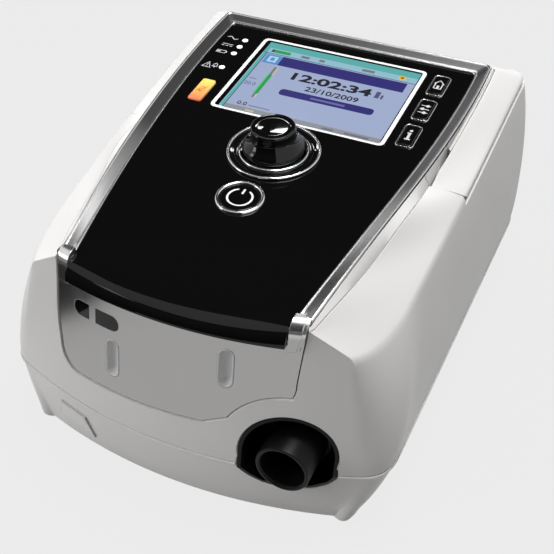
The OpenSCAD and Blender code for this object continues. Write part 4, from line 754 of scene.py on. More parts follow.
# %% Cutting the upper case
ARM_GAP = 0.7
filter_place = Matrix.Translation((-83.2, 30, 35)) @ Matrix.Rotation(math.radians(4.2), 4, "Y")
filter_place = filter_place @ Matrix.Scale(-1, 4, (1, 0, 0))
lift = lambda line: line * [1, 1, 0] + [0, 0, 140]
channel_in = rail(rim_half(STRIP_OUT + 0.1, ledge_z), HANDLE_Y)
channel_out = rail(crease_half(-12, GROOVE), HANDLE_Y)
channel = block(np.stack([channel_in, lift(channel_in), lift(channel_out), channel_out], 1))
rear_opening = block([stack(rear_line[:, 0], y, rear_line[:, 1]) for y in (97, 140)])
filter_opening = box_block((-8, -22.25, -1.45), (12, 22.25, 25.05), filter_place)
slit_places = [Matrix.Translation((side * 63.6, -9.7, 103)) @ Matrix.Rotation(side * 0.63, 4, "Z") for side in (-1, 1)]
slits = [box_block((-2.4, -0.18, -6), (2.4, 0.18, 8), place) for place in slit_places]
cut(upper, [
    channel, arm_disc(ARM_GAP, 1), arm_disc(ARM_GAP, -1), rear_opening, filter_opening, *slits,
    front_block(plate_line, 0.1, -87, 0.6, steep=2.2), front_block(recess_line, 0.1, -90.4, 0.45, steep=1.6),
])
finished(upper, white, stands_for=["upper_case", "connector_frame"])

# %% [markdown]
# ## The lower case
#
# The tub is a loft from the small footprint up to the seam, with a foot edge that is rounded where it meets the
# table. Its wall is set in by 0.8 mm, and its top edge turns out again into a small lip, which catches the light:
# that is the pale line round the machine. The release key for the outlet fitting is low on the left.

# %% The tub
def tub_half(v, d):
    """Half loop at fraction v of the way from the footprint to the seam, moved in by d."""
    base, top = foot_half(d, 0), seam_half(d + SEAM_INSET, 0)
    k = float(eased(np.array(v), TAPER))
    x, y = (between(base[:, i], top[:, i], k) for i in (0, 1))
    return stack(x, y, BASE_Z + (top[:, 2] - BASE_Z) * v)


def capped(name, rings, first, last):
    """A closed solid through rings, closed at each end by a fan round a point."""
    rings = [np.broadcast_to(first, rings[0].shape), *rings, np.broadcast_to(last, rings[0].shape)]
    rings = np.array(rings, float)
    return raw(name, rings, grid_faces(len(rings), rings.shape[1], False, True), merge=0.0005)


LIP = [(0.7, -1.5), (0.25, -1.1), (0.03, -0.75), (0.03, -0.45), (0.2, -0.18), (0.5, -0.06), (1.2, -0.02)]
release_line = rounded([(-55, 22), (-41.5, 21), (-38.4, 9), (-57.6, 11.4)], 1.0)
tub = [foot_half(1.5, BASE_Z), foot_half(0.7, BASE_Z + 0.15), foot_half(0.15, BASE_Z + 0.6)]
tub += [tub_half(v, 0) for v in np.linspace(0.07, 0.93, 18)]
tub += [seam_half(d, dz) for d, dz in LIP]
floor_v = WALL / (SEAM_Z - BASE_Z)
hollow = [seam_half(SEAM_INSET + WALL, -0.02)] + [tub_half(v, WALL) for v in (0.9, 0.7, 0.5, 0.3, floor_v)]
lower = capped("lower_case_skin", [whole(h) for h in tub + hollow], (0, 0, BASE_Z), (0, 0, BASE_Z + WALL))
FEET = [(52, -84), (-52, -84), (56, 88), (-56, 88)]
pocket = [(0, 0), (7.2, 0), (7.2, 3.2), (0, 3.2)]
foot_pockets = [turned("tool", pocket, Matrix.Translation((x, y, 0)), 48) for x, y in FEET]
vents = [box_block((i * 9 - 1.5, -20, 0), (i * 9 + 1.5, 20, 6)) for i in range(-3, 4)]
cut(lower, [front_block(recess_line, SET_GAP, -90.4, 0.45), front_block(release_line, 0.25, -97, 0.25),
            *foot_pockets, *vents])
finished(lower, white, stands_for=["lower_case"])

# %% [markdown]
# ## The carry handle
#
# The handle is a flat loop that lies flush with the case: two arms beside the rim and a bar behind it. Its section
# is carried along the rim's line, so its top is the same facet as the case's in front of it and the side edge runs
# through without a step. The arms end in a round about the pivot, which leaves the cross seam.

# %% The handle
h_low = rim_half(STRIP_OUT + HANDLE_GAP, lambda y: ledge_z(y) + 0.4)
h_top = rim_half(STRIP_OUT + HANDLE_GAP, lambda y: strip_z(y) - 0.3)
h_edge, h_under = crease_half(0, 0), crease_half(0.25, 1.25)
to_edge = unit(h_edge - h_top)
width = np.linalg.norm(h_edge - h_top, axis=1, keepdims=True)
soft = np.minimum(EDGE_R, width * 0.3)
section = [h_low] + bend(h_top - [0, 0, 0.5], h_top, h_top + to_edge * 0.5, 4)
section += [h_top + to_edge * between(0.5, width - soft, t) for t in np.linspace(0.15, 1, 6)]
section += bend(h_edge - to_edge * soft, h_edge, h_under, 6)[1:]
section += [h_under + (h_low - h_under) * t for t in (0.08, 0.5)]
handle = block(np.stack([rail(s, HANDLE_Y - 12) for s in section], 1), "carry_handle_skin")
ahead = cut(box_block((-100, -40, 50), (100, PIVOT_Y, 150)), [arm_disc(0, 1), arm_disc(0, -1)])
cut(handle, [ahead])
finished(handle, white, "handle", stands_for=["carry_handle"])

# %% [markdown]
# ## The front plate
#
# The plate follows the case's bowed and leaning front, 0.3 mm behind it: a cylinder of 178.6 mm radius that leans
# back by 7.9 degrees. It is a slab of that surface, kept where it lies inside the plate's outline. The two hook
# slots are pressed cups with a rounded lip, and the windows of the infrared port are dark plastic let in flush.

# %% Plate, slots and windows
def plate_y(x, z, d):
    """Where the front face is, moved out by d: a cylinder that leans back, met by a level line at x and z."""
    c = math.cos(LEAN_ANGLE)
    return BOW_R / c - FRONT - np.sqrt((BOW_R + d) ** 2 - x * x) / c + (z - SEAM_Z) * LEAN


PLATE_STEP, PLATE_T, VISOR_HALF, VISOR_LOW, VISOR_OUT = 0.3, 2.2, 44.9, 89.1, 4.2


def on_face(outline, d):
    """An outline in x and z put on the front face, d behind it."""
    return stack(outline[:, 0], plate_y(outline[:, 0], outline[:, 1], d), outline[:, 1])


zs = np.linspace(44, 96, 27)
skin = lambda x, d: stack(x, plate_y(x, zs, d), zs)
slab = [np.concatenate([skin(x, -PLATE_STEP), skin(x, -PLATE_STEP - PLATE_T)[::-1]]) for x in np.linspace(-54, 54, 73)]
plate = block(slab, "front_plate")
cut(plate, [front_block(plate_line, 0.0, -80)], "INTERSECT")


def capsule(cx, cz, half_w, half_l, n=12):
    """A slot's outline: two half circles joined by straight sides."""
    rise = half_l - half_w
    return np.concatenate([arc(cx, cz + rise, half_w, 0, 180, n), arc(cx, cz - rise, half_w, 180, 360, n)])


SLOTS = [capsule(-25, 60.5, 2.4, 7.75), capsule(22.8, 72.8, 2.4, 7.75)]
left_window = np.concatenate([arc(-40.45, 76.25, 3.25, 90, 270, 16), [(-36.3, 73.0), (-36.3, 79.5)]])
right_window = np.concatenate([arc(-25.25, 76.25, 3.25, -90, 90, 16), [(-33, 79.5), (-33, 73.0)]])
behind_visor = box_block((-VISOR_HALF - 0.15, -130, VISOR_LOW + 2), (VISOR_HALF + 0.15, -80, 110))
cut(plate, [front_block(line, 0.85, -80) for line in SLOTS]
    + [front_block(line, 0.1, -80) for line in (left_window, right_window)] + [behind_visor])
finished(plate, satin_silver, stands_for=["front_trim"])

CUP = [(0.8, -3.6), (0.82, -0.5), (0.8, -0.32), (0.6, -0.12), (0.35, -0.1), (0.1, -0.3), (-0.1, -0.6), (-0.3, -1.3),
       (-0.8, -2.5), (-1.4, -2.9), (-1.9, -3.0)]
for side, line in zip("lr", SLOTS):
    cup = block([on_face(grown(line, g), d) for g, d in CUP], "hook_slot_" + side)
    finished(cup, slot_silver, sharp=60)

# %% [markdown]
# ## The silver rim
#
# The rim is one plated band. Its section is a profile: a small bead beside the black panel, a slope up to a second
# bead on the outer edge, and a wall down into the case. The profile is carried along the rim's line, and at the
# front it turns down over the corner and runs out into the plate. One number per point tells the material where
# the band is painted dark as a painted reflection, which fades out towards the front, with a painted highlight
# stripe along the back and a thin painted dark line where the band turns down; another number tells where the
# satin of the plate begins.

# %% The rim band
DRAPE_TOP, DRAPE_END, BEND_AT = 2.4, 86.0, -97.0
# Each row is an offset, a bead height, a rise, and a last number that is 1 where the band is painted dark as a painted
# reflection and 0 on the beads, which stay bright.
profile = np.array([
    (-BAND_W, -2.6, 0, 1), (-BAND_W, -0.2, 0, 1), (-BAND_W, 0.2, 0, 0), (-BAND_W + 0.12, 0.42, 0, 0),
    (-BAND_W + 0.4, 0.5, 0, 0), (-BAND_W + 0.68, 0.40, 0, 0), (-BAND_W + 0.8, 0.16, 0.02, 0.6),
    (-BAND_W + 1.0, 0.12, 0.06, 1), (-4.0, 0.1, 0.24, 1), (-3.0, 0.1, 0.43, 1), (-2.0, 0.08, 0.63, 1),
    (-1.1, 0.0, 0.83, 1), (-0.95, 0.0, 0.86, 0.5), (-0.8, 0.2, 0.88, 0), (-0.55, 0.2, 0.95, 0), (-0.25, 0.08, 1.0, 0),
    (-0.05, -0.1, 1.0, 0), (0.0, -0.3, 1.0, 0), (0.02, -0.4, 1.0, 1), (0.02, -2.4, 1.0, 1), (-1.2, -2.5, 1.0, 1),
    (-1.2, -2.6, 0, 1),
])


def band_point(offset, bead, rise):
    """One rail of the band: a line at an offset from the rim, standing at bead + rise * (rim above panel)."""
    half = rim_half(offset, lambda y: panel_z(y) - 0.2 + bead + rise * (rim_z(y) - panel_z(y) + 0.2))
    return rail(half, BEND_AT)


def drape(offset, bead, rise):
    """The same rail over the front corner: along, round a bend, and down the plate, with its height fading out."""
    x = float(rim_x(BEND_AT)) + offset
    x_low = float(rim_x(RIM_FRONT)) + offset
    top = float(panel_z(BEND_AT)) - 0.2
    edge_y = float(plate_y(x_low, top, -PLATE_STEP + 0.05))
    a, b = np.array([BEND_AT, top]), np.array([edge_y + DRAPE_TOP, top - 0.25])
    k, c_z = np.array([edge_y, top - 0.5]), top - 0.5 - DRAPE_TOP
    c = np.array([plate_y(x_low, c_z, -PLATE_STEP + 0.05), c_z])
    d = np.array([plate_y(x_low, DRAPE_END, -PLATE_STEP + 0.03), DRAPE_END])
    line = np.concatenate([a + (b - a) * np.linspace(0, 1, 6)[:-1, None], np.array(bend(b, k, c, 12)),
                           c + (d - c) * np.linspace(0, 1, 10)[1:, None]])
    along = np.gradient(line, axis=0)
    normal = unit(np.stack([along[:, 1], -along[:, 0]], -1)) * -1
    height = bead + rise * float(rim_z(BEND_AT) - panel_z(BEND_AT) + 0.2)
    fade = np.clip((line[:, 1] - DRAPE_END) / (top - DRAPE_TOP - DRAPE_END), 0, 1)[:, None]
    if height > 0:
        height = height * fade
    line = line + normal * height
    x_line = between(x, x_low, np.clip(np.arange(len(line)) / 8, 0, 1))
    return stack(x_line, line[:, 0], line[:, 1])


def whole_rail(offset, bead, rise):
    """A rail from the right end, round the back, to the left end; the right end narrows into the plate."""
    over = drape(offset, bead, rise)
    right_end = over.copy()
    right_end[:, 0] -= 1.8 * (1 + offset / BAND_W) * np.clip((BEND_TOP - 3 - over[:, 2]) / 6, 0, 1) ** 1.5
    return np.concatenate([right_end[:0:-1], band_point(offset, bead, rise), over[1:] * [-1, 1, 1]])


def number_points(obj, name, values):
    """Gives each point of a mesh a number under a name, which a material can read."""
    obj.data.attributes.new(name, "FLOAT", "POINT").data.foreach_set("value", values.ravel())

BEND_TOP = float(panel_z(BEND_AT))
sections = np.stack([whole_rail(*row[:3]) for row in profile], 1)
rim = block(sections, "rim_band")
y_of, z_of = sections[..., 1], sections[..., 2]
turned_down = y_of < BEND_AT
# Painted reflection: the band is painted dark towards the rear and fades to bright silver at the front; a painted
# highlight stripe is kept bright along the rear, and a thin painted dark line marks the turn over the front corner.
dark = profile[:, 3] * np.clip((y_of + 78) / 60, 0, 1)
rear_highlight = np.clip((y_of - profile[:, 0] - RIM_REAR + 0.7) / 0.5, 0, 1) * (profile[:, 0] < -4.5)
turn_shade = np.exp(-(((z_of - BEND_TOP + 1.9) / 0.5) ** 2)) * turned_down
number_points(rim, "smoke", np.maximum(dark * (1 - rear_highlight), turn_shade))
number_points(rim, "satin", np.clip((BEND_TOP - 2.2 - z_of) / 2.5, 0, 1) * turned_down)
finished(rim, rim_silver, sharp=50)

# %% [markdown]
# ## The black panel and its visor
#
# The panel is one sheet. It is as wide as the space inside the rim, bends gently down towards the front, turns
# over at a straight fold, and ends in a nose that follows the bowed front. Along the sheet the first part is the
# panel's slope and the second a cubic curve from the fold to the nose's lower edge. Across it the width follows
# the rim, and at the back it closes in two round corners.

# %% Panel sheet
def panel_half_width(y):
    """Half width of the panel at y: inside the rim by the band and a gap, and round at the rear corners."""
    d = -BAND_W - SET_GAP
    y_turn, y_end, x_end = RIM_REAR - RIM_TURN + d, RIM_REAR + d, float(rim_x(RIM_REAR)) - RIM_TURN + d
    x_turn = float(rim_x(y_turn)) + d
    t = np.clip(1 - np.sqrt(np.clip((y_end - y) / (y_end - y_turn), 0, 1)), 0, 1)
    return np.where(y < y_turn, rim_x(y) + d, x_turn - (x_turn - x_end) * t * t)


FOLD_Y, SHEET_T, PANEL_REAR = -101.5, 2.4, 71.2
v = np.sin(np.linspace(-1, 1, 49) * math.pi / 2)
flat_y = np.concatenate([PANEL_REAR - RIM_TURN * (1 - steps(9)) ** 2, [PANEL_REAR]])[::-1]
flat_y = np.concatenate([flat_y, np.linspace(69.0, -98, 60)[1:]])
stations = []
for y in flat_y:
    w = float(panel_half_width(y))
    stations.append(stack(w * v, y, panel_z(y)))
for t in np.linspace(0, 1, 26):
    x = VISOR_HALF * v
    start = stack(x, FOLD_Y, panel_z(FOLD_Y))
    end = stack(x, plate_y(x, VISOR_LOW, VISOR_OUT), VISOR_LOW)
    dy, dz = (end - start)[:, 1], (end - start)[:, 2]
    p1 = start + stack(0, 0.46 * dy, 0.19 * 0.46 * dy)
    p2 = start + stack(0, 0.97 * dy, 0.42 * dz)
    stations.append(start * (1 - t) ** 3 + 3 * p1 * t * (1 - t) ** 2 + 3 * p2 * t * t * (1 - t) + end * t**3)
top = np.array(stations)
under = top - unit(np.cross(np.gradient(top, axis=0), [1.0, 0, 0])) * SHEET_T
under[-1] = top[-1] + [0, SHEET_T + 1.4, 0.0]
sheet = block(np.concatenate([top, under[:, ::-1]], axis=1), "panel_sheet")
print("panel sheet from y", round(float(top[0, 0, 1]), 1), "to", round(float(top[-1, 24, 1]), 1))


def panel_line(outline, z):
    """An outline in panel coordinates put on the panel, z above it."""
    return stack(outline[:, 0], outline[:, 1], panel_z(outline[:, 1]) + z)


def panel_place(x, y):
    """A place on the panel whose own Z axis stands square on the panel's surface."""
    return Matrix.Translation((x, y, float(panel_z(np.array(y))))) @ Matrix.Rotation(panel_angle(y), 4, "X")


def rounded_rect(cx, cy, w, h, r):
    """A rectangle with round corners, r the corner's radius."""
    corners = np.array([(-1, -1), (1, -1), (1, 1), (-1, 1)]) * [w / 2, h / 2] + [cx, cy]
    return rounded(corners, r, 7)


WINDOW_Y, KEY_W, KEY_L, MUTE_L, KEY_X, LEFT_X = 34.8, 6.3, 14.6, 16.4, 48.1, 48.4
MENU_Y, MUTE_Y = [15.0, 35.4, 55.8], 13.7
DIAL_Y, DIAL_R, STANDBY_Y, STANDBY_R = -16.0, 19.7, -48.7, 8.2
key_lines = [rounded_rect(KEY_X, y, KEY_W, KEY_L, 1.2) for y in MENU_Y]
key_lines.append(rounded_rect(-LEFT_X, MUTE_Y, KEY_W, MUTE_L, 1.2))
holes = [block([panel_line(grown(line, 0.25), z) for z in (-6, 6)]) for line in key_lines]
holes.append(block([panel_line(rounded_rect(0, WINDOW_Y, 81.2, 60.9, 3), z) for z in (-6, 6)]))
for y, r in ((DIAL_Y, DIAL_R - 2), (STANDBY_Y, STANDBY_R + 0.5)):
    holes.append(turned("tool", [(0, -5), (r, -5), (r, 5), (0, 5)], panel_place(0, y)))
cut(sheet, holes)
finished(sheet, gloss_black, stands_for=["control_panel"])

# %% [markdown]
# ## Printing by shapes
#
# Icons, the white line round the display and the display's picture are thin solids, a few hundredths of a
# millimetre high, one on top of another. A shape is an outline, a band between two outlines, or a stroke along a
# line. All shapes of one print share a mesh, and each point carries its shape's colour. Colours are given as they
# look on a screen, from 0 to 255, and turned into light.

# %% Shapes and prints
def light(colour):
    """A screen colour as amounts of light: the usual curve, ((c + 0.055) / 1.055) ** 2.4 above a straight foot."""
    c = np.array(colour, float) / 255
    return np.append(np.where(c > 0.04045, ((c + 0.055) / 1.055) ** 2.4, c / 12.92), 1.0)


def fill(outline):
    """A filled shape, one unit thick."""
    n = len(outline)
    points = np.concatenate([np.c_[outline, np.zeros(n)], np.c_[outline, np.ones(n)]])
    return points, grid_faces(2, n, False, True) + [list(range(n)), list(range(n, 2 * n))]


def band(outer, inner):
    """The flat strip between two outlines with the same number of points."""
    n = len(outer)
    levels = ((outer, 0), (outer, 1), (inner, 1), (inner, 0))
    points = np.concatenate([np.c_[line, np.full(n, z)] for line, z in levels])
    return points, grid_faces(4, n, True, True)


def stroke(points, width):
    """An open line drawn with a flat pen."""
    p = np.array(points, float)
    along = unit(np.gradient(p, axis=0))
    side = np.stack([-along[:, 1], along[:, 0]], -1) * width / 2
    return fill(np.concatenate([p + side, (p - side)[::-1]]))


def dot(x, y, r, n=20):
    """A filled circle."""
    return fill(arc(x, y, r, 0, 360 * (n - 1) / n, n))


def box(x0, y0, x1, y1):
    """A filled rectangle between two corners."""
    return fill(np.array([(x0, y0), (x1, y0), (x1, y1), (x0, y1)], float))


def lettering(body, x0, y0, x1, y1, bold=0.0):
    """Digits fitted between two corners, from the font that Blender carries."""
    curve = bpy.data.curves.new("digits", "FONT")
    curve.body, curve.offset, curve.extrude, curve.resolution_u = body, bold, 0.5, 4
    holder = bpy.data.objects.new("digits", curve)
    scene.collection.objects.link(holder)
    mesh = bpy.data.meshes.new_from_object(holder.evaluated_get(bpy.context.evaluated_depsgraph_get()))
    p = np.empty(len(mesh.vertices) * 3)
    mesh.vertices.foreach_get("co", p)
    p, faces = p.reshape(-1, 3), [list(f.vertices) for f in mesh.polygons]
    low_end, high_end = p.min(0), p.max(0)
    p = (p - low_end) / (high_end - low_end) * [x1 - x0, y1 - y0, 1] + [x0, y0, 0]
    bpy.data.objects.remove(holder)
    bpy.data.meshes.remove(mesh)
    return p, faces


def printed(name, shapes, finish, body="housing", base=0.0, height=0.04, place=panel_line):
    """One mesh of many coloured shapes; each next shape stands a little higher than the one before."""
    points, faces, paint, start = [], [], [], 0
    for k, (colour, (p, f)) in enumerate(shapes):
        points.append(place(p[:, :2], base + p[:, 2] * (height + 0.003 * k)))
        faces += [[i + start for i in face] for face in f]
        paint.append(np.tile(light(colour), (len(p), 1)))
        start += len(p)
    obj = raw(name, np.concatenate(points), faces)
    attribute = obj.data.attributes.new("paint", "FLOAT_COLOR", "POINT")
    attribute.data.foreach_set("color", np.concatenate(paint).ravel())
    return finished(obj, finish, body, sharp=20)


# %% [markdown]
# ## The display
#
# The cover glass lies flush in the panel with a white line printed round it. The picture shows a clock, a date,
# a green level gauge, a title bar and coloured status strips. The only lettering is digits.

# %% Glass, line and picture
glass_line = rounded_rect(0, WINDOW_Y, 81.0, 60.7, 3)
glass = block([panel_line(grown(glass_line, g), z) for g, z in ((0, -1.5), (0, -0.12), (-0.12, 0))], "display_glass")
finished(glass, gloss_black, stands_for=["display_window"])
line_out, line_in = rounded_rect(0, 34.7, 80.6, 60.9, 3.0), rounded_rect(0, 34.75, 77.2, 57.9, 1.6)
printed("display_line", [((246, 246, 246), band(line_out, line_in))], print_ink)

BACK, TEAL, PALE_TEAL, NAVY = (165, 178, 212), (92, 178, 176), (150, 196, 214), (43, 38, 120)
INK, GREY, GREEN, DARK_LINE = (22, 22, 40), (120, 124, 132), (30, 160, 78), (20, 60, 84)
BLUE, SAND, SLATE, HAZE, DUSK = (88, 150, 214), (198, 190, 170), (110, 112, 124), (122, 132, 176), (80, 86, 120)
picture = [
    (BACK, box(-36.4, 5.5, 38.1, 62.4)), (PALE_TEAL, box(-36.4, 53.5, 38.1, 62.4)),
    (TEAL, box(-36.4, 57.8, 38.1, 62.4)), (TEAL, box(-36.4, 5.5, -34.5, 62.4)),
    (DARK_LINE, box(-34.5, 5.5, -34.15, 53.5)), (DARK_LINE, box(-36.4, 53.2, 38.1, 53.55)),
    (PALE_TEAL, box(-36.4, 5.5, -35.9, 53.5)), ((146, 150, 160), box(-34.1, 5.5, 38.1, 9.0)),
    ((176, 178, 184), box(-34.1, 8.7, 38.1, 9.0)), (SAND, box(-24, 6.2, -20, 7.6)),
    (SAND, box(-14, 6.2, -11.5, 7.6)), (SLATE, box(12, 6.3, 17, 7.4)), (SLATE, box(22, 6.3, 33, 7.4)),
    (NAVY, box(-33.5, 45.0, 34.8, 52.5)), (BLUE, box(-33.5, 45.0, -25.6, 52.5)),
    ((190, 222, 244), box(-31.8, 46.4, -27.4, 51.2)), (BLUE, box(-30.6, 47.4, -28.6, 50.2)),
    (NAVY, fill(rounded([(-15.9, 23.3), (28.3, 23.3), (28.3, 28.1), (-15.9, 28.1)], 2.0, 6))),
    ((110, 106, 170), box(-1, 24.9, 15, 26.3)), (GREY, box(-25.9, 17.0, -24.7, 43.0)),
    ((196, 188, 172), box(-24.7, 35.6, -23.7, 43.0)), (GREEN, box(-26.5, 20.0, -24.2, 36.5)),
    ((90, 204, 130), box(-26.5, 20.0, -25.8, 36.5)), ((208, 206, 200), box(-24.7, 17.0, -24.1, 20.0)),
    (GREEN, box(-32.9, 54.6, -23.5, 56.8)), ((20, 90, 60), box(-32.9, 54.6, -31.6, 56.8)),
    (GREY, box(-18, 54.8, -14, 56.6)), (GREY, box(-9, 54.8, -6.4, 56.6)), (GREY, box(12, 54.8, 18, 56.6)),
    ((236, 196, 60), dot(31.1, 56.1, 1.7)), ((150, 90, 30), dot(31.1, 56.1, 0.8)),
    (HAZE, box(-33.0, 30.6, -29.6, 31.2)), (HAZE, box(-24, 10.2, -14, 10.9)),
    (DUSK, box(24.4, 36.6, 26.4, 41.6)), (DUSK, box(27.2, 36.6, 28.2, 39.6)),
    (INK, lettering("12:02:34", -15.4, 36.3, 22.5, 42.2, 0.03)),
    (INK, lettering("23/10/2009", -6.0, 30.0, 19.0, 33.6, 0.012)),
    (INK, lettering("0.0", -29.6, 9.9, -25.2, 12.4, 0.004)),
    ((96, 104, 150), lettering("20.0", -33.6, 25.6, -28.2, 28.0)),
]
printed("display_picture", picture, display_light, height=0.03)

# %% [markdown]
# ## Marks on the panel
#
# Beside each indicator light is a small mark for what it means: mains power, direct current, the battery, and an
# alarm with its bell. They are screen printed in a light grey.

# %% Panel marks
MARK = (196, 198, 200)
t = np.linspace(0, 1, 25)
wave = stroke(np.stack([-57.7 + 5.6 * t, 59.2 + 0.95 * np.sin(2 * np.pi * t)], -1), 0.5)
battery_out, battery_in = rounded_rect(-54.9, 46.4, 4.8, 2.4, 0.3), rounded_rect(-54.9, 46.4, 4.1, 1.7, 0.15)
bell = np.array([(-1.5, -1.3), (1.5, -1.3), (1.15, -0.7), (1.0, 0.6), (0.55, 1.25), (0, 1.45), (-0.55, 1.25),
                 (-1.0, 0.6), (-1.15, -0.7)])
triangle = np.array([(-58.0, 31.6), (-53.4, 31.6), (-55.7, 36.6)])
marks = [(MARK, shape) for shape in (
    wave, stroke([(-57.3, 53.3), (-52.0, 53.3)], 0.45),
    *[stroke([(x, 51.9), (x + 1.35, 51.9)], 0.45) for x in (-57.3, -55.3, -53.35)],
    band(battery_out, battery_in), box(-52.5, 45.9, -52.0, 46.9), box(-56.9, 45.9, -55.2, 46.9),
    band(triangle, triangle * 0.74 + triangle.mean(0) * 0.26), stroke([(-55.7, 34.9), (-55.7, 33.3)], 0.4),
    dot(-55.7, 32.6, 0.28, 12), band(bell + [-52.0, 34.6], bell * 0.66 + [-52.0, 34.55]), dot(-52.0, 32.9, 0.4, 12),
)]
printed("panel_marks", marks, print_ink, height=0.03)

# %% [markdown]
# ## Keys
#
# A key is a small pillow: straight sides in its hole, a round shoulder and a slightly hollow top for the finger.
# Each menu key has a plated frame round it with a light mark on top: home, settings and information. The mute
# key is translucent and carries a bell.

# %% Keys, frames and their marks
def pillow(name, line, finish, body, node, proud=0.8, shoulder=1.0):
    """A key from its outline: sides, a shoulder through four rings, and a hollow top closed round its middle."""
    steps_up = [(0, -3.2), (0, proud - 0.42), (-0.10, proud - 0.18), (-0.32, proud - 0.04), (-0.6, proud),
                (-shoulder, proud - 0.03)]
    rings = [panel_line(grown(line, g), z) for g, z in steps_up]
    cx, cy = line.mean(0)
    foot, crown = ((cx, cy, float(panel_z(cy)) + z) for z in (-3.2, proud - 0.09))
    return finished(capped(name, rings, foot, crown), finish, body, stands_for=[node])


for i, line in enumerate(key_lines[:3]):
    pillow(f"menu_key_{i + 1}_skin", line, knob_black, f"menu_{i + 1}", f"menu_key_{i + 1}")
pillow("mute_key_skin", key_lines[3], key_orange, "mute", "mute_key")

section = [(0.80, -0.15), (0.80, 0.2), (0.72, 0.42), (0.58, 0.52), (0.42, 0.5), (0.3, 0.36), (0.27, 0.1), (0.27, -0.15)]
for i, line in enumerate(key_lines[:3]):
    rings = np.array([panel_line(grown(line, g), z) for g, z in section])
    frame_ring = raw(f"key_frame_{i + 1}", rings, grid_faces(len(rings), rings.shape[1], True, True))
    finished(frame_ring, chrome, stands_for=["menu_key_frames"] if i == 0 else ())

KEY_MARK, BELL_MARK, OUTLINE = (206, 208, 212), (196, 106, 44), (112, 114, 118)
home = [stroke([(-2.0, 0.5), (0, 2.9), (2.0, 0.5)], 0.5), stroke([(-1.45, 0.9), (-1.45, -2.6)], 0.45),
        stroke([(1.45, 0.9), (1.45, -2.6)], 0.45), stroke([(-1.67, -2.6), (1.67, -2.6)], 0.45),
        box(-0.5, -2.6, 0.5, -0.6)]
settings = [stroke([(-1.9, y), (1.9, y)], 0.42) for y in (2.2, 0, -2.2)]
settings += [dot(x, y, 0.75) for x, y in ((0.7, 2.2), (-0.8, 0), (0.5, -2.2))]
information = [dot(0, 2.6, 0.62), box(-0.5, -2.4, 0.5, 1.3), box(-1.1, -2.9, 1.1, -2.2), box(-1.0, 0.8, 0.5, 1.4)]
silent = [band(bell * 1.25, bell * 0.98), dot(0, -2.2, 0.45), stroke([(-2.0, -2.4), (2.0, 2.4)], 0.4)]
outline = band(rounded_rect(0, 0, 4.9, 13.2, 0.5), rounded_rect(0, 0, 4.5, 12.8, 0.4))
key_marks = (("information_mark", information), ("settings_mark", settings), ("home_mark", home))
for i, (name, shapes) in enumerate(key_marks):
    coloured = [(OUTLINE, outline)] + [(KEY_MARK, (p * [1.12, 1.2, 1], f)) for p, f in shapes]
    moved = [(colour, (p + [KEY_X, MENU_Y[i], 0], f)) for colour, (p, f) in coloured]
    printed(name, moved, print_ink, f"menu_{i + 1}", base=0.68, height=0.09)
moved = [(BELL_MARK, (p + [-LEFT_X, MUTE_Y, 0], f)) for p, f in silent]
printed("silent_mark", moved, print_ink, "mute", base=0.68, height=0.09)

# %% [markdown]
# ## The dial
#
# The knob is turned and polished: a broad foot, a waist, and a cap whose rim is a fine bead round a mirror-smooth
# disc. It sits in a black dish between two bright rings, which catch the light as two curved lines.

# %% Knob and rings
dial_place, standby_place = panel_place(0, DIAL_Y), panel_place(0, STANDBY_Y)
knob_profile = [(0, 1.0), (12.3, 1.0), (12.8, 1.25), (13.0, 1.8), (13.0, 3.0), (12.85, 3.9), (12.4, 4.7), (11.5, 5.6),
                (10.6, 6.6), (9.95, 7.8), (9.6, 9.0), (9.45, 10.2), (9.4, 11.7), (9.33, 12.2), (9.12, 12.52),
                (8.85, 12.66), (8.55, 12.62), (8.4, 12.5), (8.2, 12.46), (6, 12.47), (3, 12.48), (0, 12.48)]
finished(turned("dial_knob_skin", knob_profile, dial_place), knob_black, "dial", stands_for=["dial_knob"])


def bead(name, r, z, size, place):
    """A round wire bent into a bright ring."""
    a = np.linspace(0, 2 * np.pi, 13)[:-1]
    wire = turned(name, np.stack([r + size * np.cos(a), z + size * np.sin(a)], -1), place, ring=True)
    finished(wire, chrome, sharp=80)


dish = [(13.4, -0.9), (19.6, -0.9), (19.7, -0.2), (19.6, 0.5), (18.6, 0.55), (17.0, 0.32), (16.5, 0.3), (16.35, 0.75),
        (16.1, 0.82), (15.0, 0.7), (13.4, 0.6)]
finished(turned("dial_dish", dish, dial_place, ring=True), knob_black, stands_for=["dial_ring"])
bead("dial_ring_outer", 19.05, 0.75, 0.55, dial_place)
bead("dial_ring_inner", 14.15, 0.95, 0.5, dial_place)

# %% [markdown]
# ## The standby button
#
# A black dished button in a bright ring, with the usual mark for standby: an open circle and a bar.

# %% Standby button
button = [(0, -3.2), (8.2, -3.2), (8.2, 0.15), (8.05, 0.45), (7.75, 0.62), (7.3, 0.66), (5, 0.56), (2, 0.5), (0, 0.49)]
finished(turned("standby_button_skin", button, standby_place), knob_black, "standby",
         stands_for=["standby_button"])
ring_profile = [(8.45, -0.8), (9.9, -0.8), (9.9, 0.3), (9.8, 0.7), (9.5, 1.0), (9.1, 1.1), (8.75, 1.0),
                (8.5, 0.7), (8.45, 0.4)]
finished(turned("standby_ring_skin", ring_profile, standby_place, ring=True), chrome,
         stands_for=["standby_ring"], sharp=60)
across_arc = np.radians(np.linspace(90 + 28, 90 + 332, 60))
open_circle = stroke(np.stack([5.0 * np.cos(across_arc), 5.0 * np.sin(across_arc)], -1), 0.85)
place_standby = lambda xy, z: panel_line(xy + [0, STANDBY_Y], z)
standby_shapes = [((238, 238, 240), shape) for shape in (open_circle, stroke([(0, 2.2), (0, 7.0)], 0.85))]
printed("standby_mark", standby_shapes, print_ink, "standby", base=0.45, height=0.14, place=place_standby)

# %% [markdown]
# ## The air outlet
#
# The outlet is a tapered-looking but straight 22 mm spigot with a rounded lip, a seat behind it, and a deep bore.

